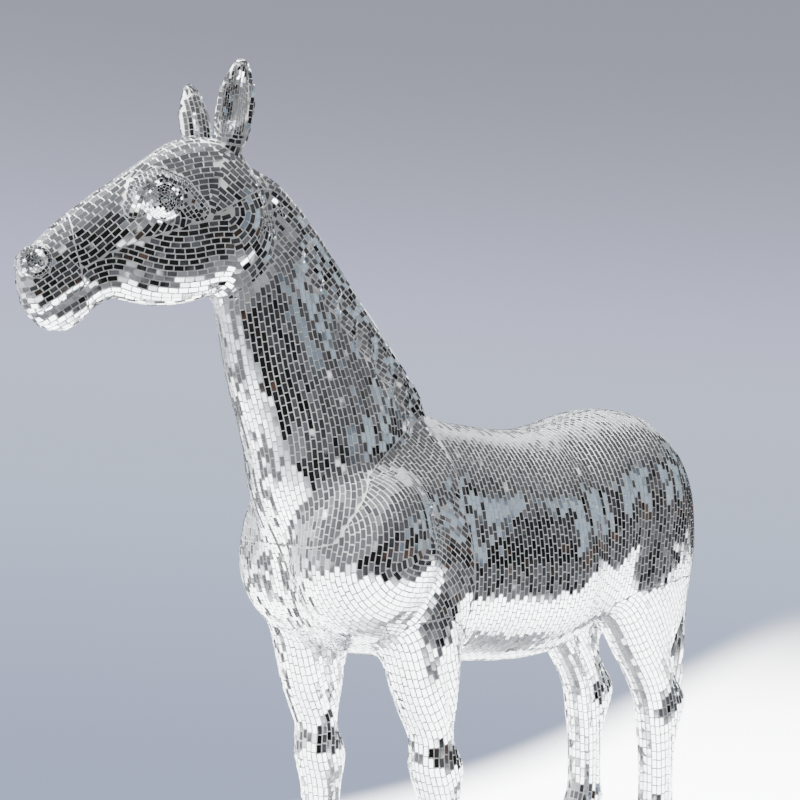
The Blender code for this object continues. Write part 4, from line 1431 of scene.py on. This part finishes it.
# %% The pieces
GROUT_DEPTH = 0.0004
bed = mesh_piece("grouted_casting", placed - GROUT_DEPTH * out, quads, True, grout_white)
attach(bed, "root")
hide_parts("horse")

PIECES = {
    "head_mirrors": names[: names.index("cheek") + 1],
    "neck_mirrors": ("mane", "neck"),
    "trunk_mirrors": ("breast", "trunk"),
    "foreleg_mirrors": [name for name in names if "_fore_" in name],
    "hind_leg_mirrors": [name for name in names if "_hind_" in name],
    "tail_mirrors": ("tail",),
}
for piece_name, members in PIECES.items():
    chosen = kept & np.isin(owner, [names.index(member) for member in members])
    piece = slabs(piece_name, corners[chosen], faces_out[chosen], glass)
    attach(piece, "root")
    print(piece_name, int(chosen.sum()), "tiles,", int(chosen.sum()) * 12, "triangles")

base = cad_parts["base_plate"]
base.data.materials.clear()
base.data.materials.append(base_white)

# %% [markdown]
# ## The studio
# Mirrors show their room, so the room is part of the look. The floor is near white. The horse's
# right side and its back see a pale wall. Behind the camera is a dark hall with tall bluish
# windows. One large shell holds the room and is seen in reflections alone, and a second one,
# seen by the camera alone, holds the plain grey backdrop.

# %% A shell round the horse
SHELL_RINGS = 48
SHELL_SIDES = 96
ROOM_CENTRE = (0.0, 0.0, 1.0)


def shell(name, radius, material, **seen_by):
    """A large ball round the horse, lit by itself, seen only by the kinds of ray named."""
    fall = np.linspace(0.001, math.pi - 0.001, SHELL_RINGS)[:, None]
    turn = np.linspace(0, 2 * math.pi, SHELL_SIDES, endpoint=False)[None, :]
    points = np.dstack([
        radius * np.sin(fall) * np.cos(turn),
        radius * np.sin(fall) * np.sin(turn),
        radius * np.cos(fall) + ROOM_CENTRE[2] + 0 * turn,
    ]).reshape(-1, 3)
    index = np.arange(len(points)).reshape(SHELL_RINGS, SHELL_SIDES)
    obj = mesh_piece(name, points, ring_quads(index), True, material)
    for ray in ("camera", "diffuse", "glossy", "transmission", "shadow"):
        setattr(obj, "visible_" + ray, seen_by.get(ray, False))


print("a shell has", (SHELL_RINGS - 1) * SHELL_SIDES, "faces")

# %% Helpers for painting light
def emission(name, strength):
    """A material that shines by itself, and the socket for its colour."""
    material = bpy.data.materials.new(name)
    material.use_nodes = True
    tree = material.node_tree
    tree.nodes.remove(tree.nodes["Principled BSDF"])
    glow = tree.nodes.new("ShaderNodeEmission")
    glow.inputs["Strength"].default_value = strength
    tree.links.new(glow.outputs[0], tree.nodes["Material Output"].inputs["Surface"])
    return material, tree, glow.inputs["Color"]


def plug(tree, sockets, values):
    """Sets each socket to a number or vector, or links it to a node's output."""
    for socket, value in zip(sockets, values):
        if isinstance(value, bpy.types.NodeSocket):
            tree.links.new(value, socket)
        else:
            socket.default_value = value


def maths(tree, kind, *values):
    """A sum, product or other operation on numbers, node outputs or both."""
    node = tree.nodes.new("ShaderNodeMath")
    node.operation = kind
    plug(tree, node.inputs, values)
    return node.outputs[0]


def vector(tree, kind, *values):
    """A vector operation. Its number comes out for a dot product, its vector otherwise."""
    node = tree.nodes.new("ShaderNodeVectorMath")
    node.operation = kind
    plug(tree, node.inputs, values)
    return node.outputs["Value" if kind == "DOT_PRODUCT" else "Vector"]


def rise(tree, value, start, end):
    """0 at start, 1 at end, and an S between them, in either order."""
    node = tree.nodes.new("ShaderNodeMapRange")
    node.interpolation_type = "SMOOTHSTEP"
    plug(tree, [node.inputs[k] for k in ("Value", "From Min", "From Max")], (value, start, end))
    return node.outputs["Result"]


def blend(tree, share, first, second):
    """One colour turning into another as the share goes from 0 to 1."""
    node = tree.nodes.new("ShaderNodeMix")
    node.data_type = "RGBA"
    plug(tree, [node.inputs[0], node.inputs[6], node.inputs[7]], (share, first, second))
    return node.outputs[2]


def all_of(tree, first, *others):
    """The product of some shares, which is 1 only where every one of them is 1."""
    for other in others:
        first = maths(tree, "MULTIPLY", first, other)
    return first


print("helpers ready: emission, plug, maths, vector, rise, blend, all_of")

# %% Helpers for directions
def sight_line(tree):
    """The way from the room's centre to the place that is shaded, with length one."""
    place = tree.nodes.new("ShaderNodeTexCoord").outputs["Object"]
    return vector(tree, "NORMALIZE", vector(tree, "SUBTRACT", place, ROOM_CENTRE))


def heading_vector(degrees):
    """The level direction at a compass heading, counted from the X axis towards Y."""
    return (math.cos(math.radians(degrees)), math.sin(math.radians(degrees)), 0.0)


def facing_heading(tree, way, degrees, start, end):
    """1 where the way is near a compass heading, 0 far from it, by the cosine between."""
    return rise(tree, vector(tree, "DOT_PRODUCT", way, heading_vector(degrees)), start, end)


print("a heading of 90 degrees points to", [round(v, 3) for v in heading_vector(90)])

# %% [markdown]
# ## What the mirrors show
# The tone of a tile is that of the place its reflection looks at. So the room is painted by
# direction: pale all round and white below, but dark in the hall, where a few lamps, tall panes
# and warm patches near the horizon break it up.

# %% Ways and heights in the room
ROOM_RADIUS = 8.0
ROOM_STRENGTH = 10.0
UNEVENNESS = 0.12

room_material, tree, room_colour = emission("room", ROOM_STRENGTH)
way = sight_line(tree)
axes = tree.nodes.new("ShaderNodeSeparateXYZ")
tree.links.new(way, axes.inputs[0])
unevenness = maths(tree, "MULTIPLY_ADD", noise(tree, 0.7), 2 * UNEVENNESS, -UNEVENNESS)
height = maths(tree, "ADD", axes.outputs["Z"], unevenness)
print("the horizon wanders up and down by", UNEVENNESS, "of the room's radius")

# %% The pale walls
SHADE_HEADING = -158
SHADED = (0.029, 0.029, 0.0305, 1)

pale = ramp(tree, maths(tree, "MULTIPLY_ADD", height, 0.5, 0.5), [
    (0.00, (0.80, 0.80, 0.80)),
    (0.25, (1.00, 1.00, 1.00)),
    (0.35, (0.75, 0.75, 0.76)),
    (0.425, (0.28, 0.285, 0.30)),
    (0.49, (0.10, 0.104, 0.112)),
    (0.62, (0.13, 0.133, 0.14)),
    (0.82, (0.13, 0.132, 0.137)),
    (1.00, (0.05, 0.051, 0.053)),
])
in_front = facing_heading(tree, way, SHADE_HEADING, 0.25, 0.75)
shaded = all_of(tree, in_front, rise(tree, height, -0.05, 0.12))
patches = rise(tree, noise(tree, 0.9), 0.51, 0.55)
pale = blend(tree, maths(tree, "MAXIMUM", shaded, patches), pale, SHADED)
print("walls shaded towards a heading of", SHADE_HEADING, "degrees")

# %% The dark hall
# What comes later here lies over what comes before: panes, ceiling, warm patches, the
# lighter ground, the deep dark in front of the horse, and a few lamps.
WINDOW_COUNT = 15.0
WINDOW_HEADING = -30
WINDOW_SILL, WINDOW_HEAD = 0.02, 0.52
WINDOW_COLOUR = (0.046, 0.058, 0.070, 1)
CEILING_COLOUR = (0.016, 0.016, 0.0165, 1)
WARM_COLOUR = (0.013, 0.008, 0.006, 1)
LOW_COLOUR = (0.030, 0.030, 0.031, 1)
DEEP_HEADING = -116
DEEP_COLOUR = (0.0016, 0.0015, 0.0014, 1)
LAMP_COLOUR = (0.16, 0.16, 0.16, 1)

hall = ramp(tree, noise(tree, 0.85, 3), [
    (0.40, (0.0011, 0.0011, 0.0012)),
    (0.47, (0.0025, 0.0025, 0.0027)),
    (0.52, (0.007, 0.007, 0.0074)),
    (0.60, (0.011, 0.011, 0.0118)),
    (0.72, (0.026, 0.026, 0.028)),
])
heading = maths(tree, "ARCTAN2", axes.outputs["Y"], axes.outputs["X"])
wobble = maths(tree, "MULTIPLY", noise(tree, 0.5), 3.5)
stripes = maths(tree, "SINE", maths(tree, "MULTIPLY_ADD", heading, WINDOW_COUNT, wobble))
broken = maths(tree, "MULTIPLY_ADD", noise(tree, 1.0), 1.6, -0.55)
panes = all_of(
    tree,
    rise(tree, maths(tree, "SUBTRACT", stripes, broken), 0.0, 0.15),
    facing_heading(tree, way, WINDOW_HEADING, 0.55, 0.85),
    rise(tree, height, WINDOW_SILL, WINDOW_SILL + 0.03),
    rise(tree, height, WINDOW_HEAD, WINDOW_HEAD - 0.06),
)
near_horizon = rise(tree, maths(tree, "ABSOLUTE", height), 0.16, 0.05)
warm = all_of(tree, rise(tree, noise(tree, 1.9), 0.55, 0.62), near_horizon)
low = all_of(tree, rise(tree, height, -0.12, -0.40), rise(tree, noise(tree, 1.7), 0.42, 0.52))
deep = all_of(
    tree,
    facing_heading(tree, way, DEEP_HEADING, 0.84, 0.96),
    rise(tree, height, 0.30, 0.10),
    rise(tree, noise(tree, 2.2), 0.40, 0.48),
)
for share, colour in (
    (panes, WINDOW_COLOUR),
    (rise(tree, height, 0.38, 0.68), CEILING_COLOUR),
    (warm, WARM_COLOUR),
    (low, LOW_COLOUR),
    (deep, DEEP_COLOUR),
    (rise(tree, noise(tree, 2.7), 0.69, 0.71), LAMP_COLOUR),
):
    hall = blend(tree, share, hall, colour)
print("hall with", int(WINDOW_COUNT), "panes in a full turn")

# %% Where the walls end and the hall begins
# The hall fills the half of the room round its heading. It reaches further round near the
# horizon, and less far above, and it ends well below the horizon.
HALL_HEADING = -55
WIDER_AT_HORIZON = 0.40
NARROWER_ABOVE = -0.10
HALL_EDGE = (0.08, 0.28)
HALL_FLOOR = (-0.80, -0.62)

toward = vector(tree, "DOT_PRODUCT", way, heading_vector(HALL_HEADING))
toward = maths(tree, "MULTIPLY_ADD", rise(tree, height, 0.15, 0.30), NARROWER_ABOVE, toward)
toward = maths(tree, "MULTIPLY_ADD", near_horizon, WIDER_AT_HORIZON, toward)
in_hall = all_of(tree, rise(tree, toward, *HALL_EDGE), rise(tree, height, *HALL_FLOOR))
tree.links.new(blend(tree, in_hall, pale, hall), room_colour)
shell("room_in_reflections", ROOM_RADIUS, room_material, glossy=True)
print("room of", ROOM_RADIUS, "m")

# %% [markdown]
# ## A plain backdrop
# The backdrop is a soft grey that is a little darker above and below. Below the horizon it shows
# where the floor is cut away, and its bluish grey there is painted shade on the floor.

# %% The backdrop
BACKDROP_RADIUS = 30.0
BACKDROP_TILT = 0.08
TILT_HEADING = -40

backdrop_material, tree, backdrop_colour = emission("grey_backdrop", 1.0)
upward = BACKDROP_TILT * np.array(heading_vector(TILT_HEADING)) + [0, 0, 1]
level = vector(tree, "DOT_PRODUCT", sight_line(tree), tuple(upward))
# Painted shade: the stops below the horizon, under 0.5, stand for the floor in shade.
shade = ramp(tree, maths(tree, "ADD", level, 0.5), [
    (0.30, (0.448, 0.522, 0.743)),
    (0.41, (0.637, 0.711, 0.967)),
    (0.50, (0.695, 0.811, 1.08)),
    (0.58, (0.743, 0.776, 1.08)),
    (0.66, (0.52, 0.54, 0.70)),
    (0.76, (0.344, 0.359, 0.429)),
])
shade.node.color_ramp.interpolation = "B_SPLINE"
tree.links.new(shade, backdrop_colour)
shell("backdrop", BACKDROP_RADIUS, backdrop_material, camera=True)
print("backdrop of", BACKDROP_RADIUS, "m")

# %% [markdown]
# ## A white floor
# The floor is a white pool that fades out all round. The pool is painted light: it stands for
# the lit part of the floor. Behind the horse it is cut off by a soft curve, a painted shadow
# edge, past which only the grey backdrop shows, as painted shade on the floor. On the camera's
# side it ends after two metres, which is where the mirrors turn from white to dark. A far
# stronger light falls on the floor alone: white tiles are brighter than the grout between them
# only because they show a floor that is brighter than the grout.

# %% Floor
FLOOR_HALF = 12.0
FLOOR_DROP = 0.0005
POOL_NEAR, POOL_FAR = 3.0, 8.5
BACK_EDGE = 0.79
BACK_SLOPE = 0.275
BACK_BEND = 0.8
BACK_FADE = (0.30, -0.20)
UNDER_HORSE = (0.9, 1.3)
FLOOR_FRONT = -1.7
FRONT_FADE = 0.5
FRONT_WANDERS = 0.6

floor_material, tree, shader = new_material("pale_floor")
shader.inputs["Base Color"].default_value = (0.90, 0.91, 0.93, 1)
shader.inputs["Roughness"].default_value = 1.0
shader.inputs["Specular IOR Level"].default_value = 0.0
place = tree.nodes.new("ShaderNodeTexCoord").outputs["Object"]
axes = tree.nodes.new("ShaderNodeSeparateXYZ")
tree.links.new(place, axes.inputs[0])
away = tree.nodes.new("ShaderNodeVectorMath")
away.operation = "LENGTH"
tree.links.new(place, away.inputs[0])
away = away.outputs["Value"]
# A painted shadow edge: the floor is cut off along a soft curve behind the horse.
past = maths(tree, "ADD", axes.outputs["X"], -1.0)
bend = maths(tree, "SQRT", maths(tree, "MULTIPLY_ADD", past, past, BACK_BEND))
edge = maths(tree, "MULTIPLY_ADD", maths(tree, "ADD", past, bend), BACK_SLOPE, BACK_EDGE)
before_painted_shadow_edge = rise(tree, maths(tree, "SUBTRACT", axes.outputs["Y"], edge), *BACK_FADE)
uneven = maths(tree, "MULTIPLY_ADD", noise(tree, 0.9), FRONT_WANDERS, axes.outputs["Y"])
behind_front = rise(tree, uneven, FLOOR_FRONT, FLOOR_FRONT + FRONT_FADE)
# Painted light: the white pool stands for the lit part of the floor.
painted_light_pool = all_of(tree, before_painted_shadow_edge, rise(tree, away, POOL_FAR, POOL_NEAR), behind_front)
cover = maths(tree, "MAXIMUM", painted_light_pool, rise(tree, away, UNDER_HORSE[1], UNDER_HORSE[0]))
tree.links.new(cover, shader.inputs["Alpha"])
floor_corners = FLOOR_HALF * np.array([[-1, -1, 0], [1, -1, 0], [1, 1, 0], [-1, 1, 0]])
floor_corners = floor_corners - [0, 0, FLOOR_DROP]
floor = mesh_piece("floor", floor_corners, np.array([[0, 1, 2, 3]]), False, floor_material)
floor.visible_diffuse = False
print("floor of", 2 * FLOOR_HALF, "m, white up to", POOL_NEAR, "m from its middle")

# %% [markdown]
# ## Soft light
# The grout takes its brightness from these lights alone, as no mirror shows them. They come from
# above and from the picture's left, so the joints are white on the face and the back, and grey on
# the near side and below.

# %% The sky
world = bpy.data.worlds.new("studio")
bpy.context.scene.world = world
world.use_nodes = True
tree = world.node_tree
direction = tree.nodes.new("ShaderNodeTexCoord").outputs["Generated"]
axes = tree.nodes.new("ShaderNodeSeparateXYZ")
tree.links.new(direction, axes.inputs[0])
sky = ramp(tree, axes.outputs["Z"], [
    (0.0, (0.14, 0.145, 0.16)),
    (0.3, (0.55, 0.56, 0.60)),
    (1.0, (0.90, 0.90, 0.92)),
])
tree.links.new(sky, tree.nodes["Background"].inputs["Color"])
tree.nodes["Background"].inputs["Strength"].default_value = 0.70
print("world:", world.name)

# %% Lights
def soft_light(name, place, target, size, power, only=None):
    """A square soft light that no mirror shows, facing a target, on some objects only."""
    light = bpy.data.lights.new(name, "AREA")
    light.size = size
    light.energy = power
    obj = bpy.data.objects.new(name, light)
    obj.matrix_world = (Vector(place) - Vector(target)).to_track_quat("Z", "Y").to_matrix().to_4x4()
    obj.location = place
    obj.visible_glossy = False
    obj.light_linking.receiver_collection = only
    bpy.context.scene.collection.objects.link(obj)


lit_floor = bpy.data.collections.new("lit_floor")
lit_floor.objects.link(floor)
soft_light("overhead", (1.2, 0.6, 5.2), (0, 0, 1.0), 3.0, 180)
soft_light("from_the_left", (-3.0, 1.0, 5.2), (-0.3, 0, 1.2), 2.0, 1500)
soft_light("on_the_floor", (1.0, -0.8, 6.0), (1.0, -0.8, 0.0), 7.0, 4500, lit_floor)
print("lights:", [light.name for light in bpy.data.lights])

# %% [markdown]
# ## The camera
# The camera stands in front of the horse's left shoulder, level, at the height of its chest.

# %% Camera
CAMERA_PLACE = (-2.9285, -3.1658, 1.1556)
CAMERA_HEADING = math.radians(-40)
CAMERA_LENS = 76.5
SENSOR_WIDTH = 36
HORIZON_PIXEL = 440
PICTURE = 800

lens = bpy.data.cameras.new("camera")
lens.sensor_width = SENSOR_WIDTH
lens.lens = CAMERA_LENS
lens.shift_y = (HORIZON_PIXEL - PICTURE / 2) / PICTURE
camera = bpy.data.objects.new("camera", lens)
camera.location = CAMERA_PLACE
camera.rotation_euler = (math.pi / 2, 0, CAMERA_HEADING)
bpy.context.scene.collection.objects.link(camera)
bpy.context.scene.camera = camera
print("horizon at row", HORIZON_PIXEL, "of", PICTURE)
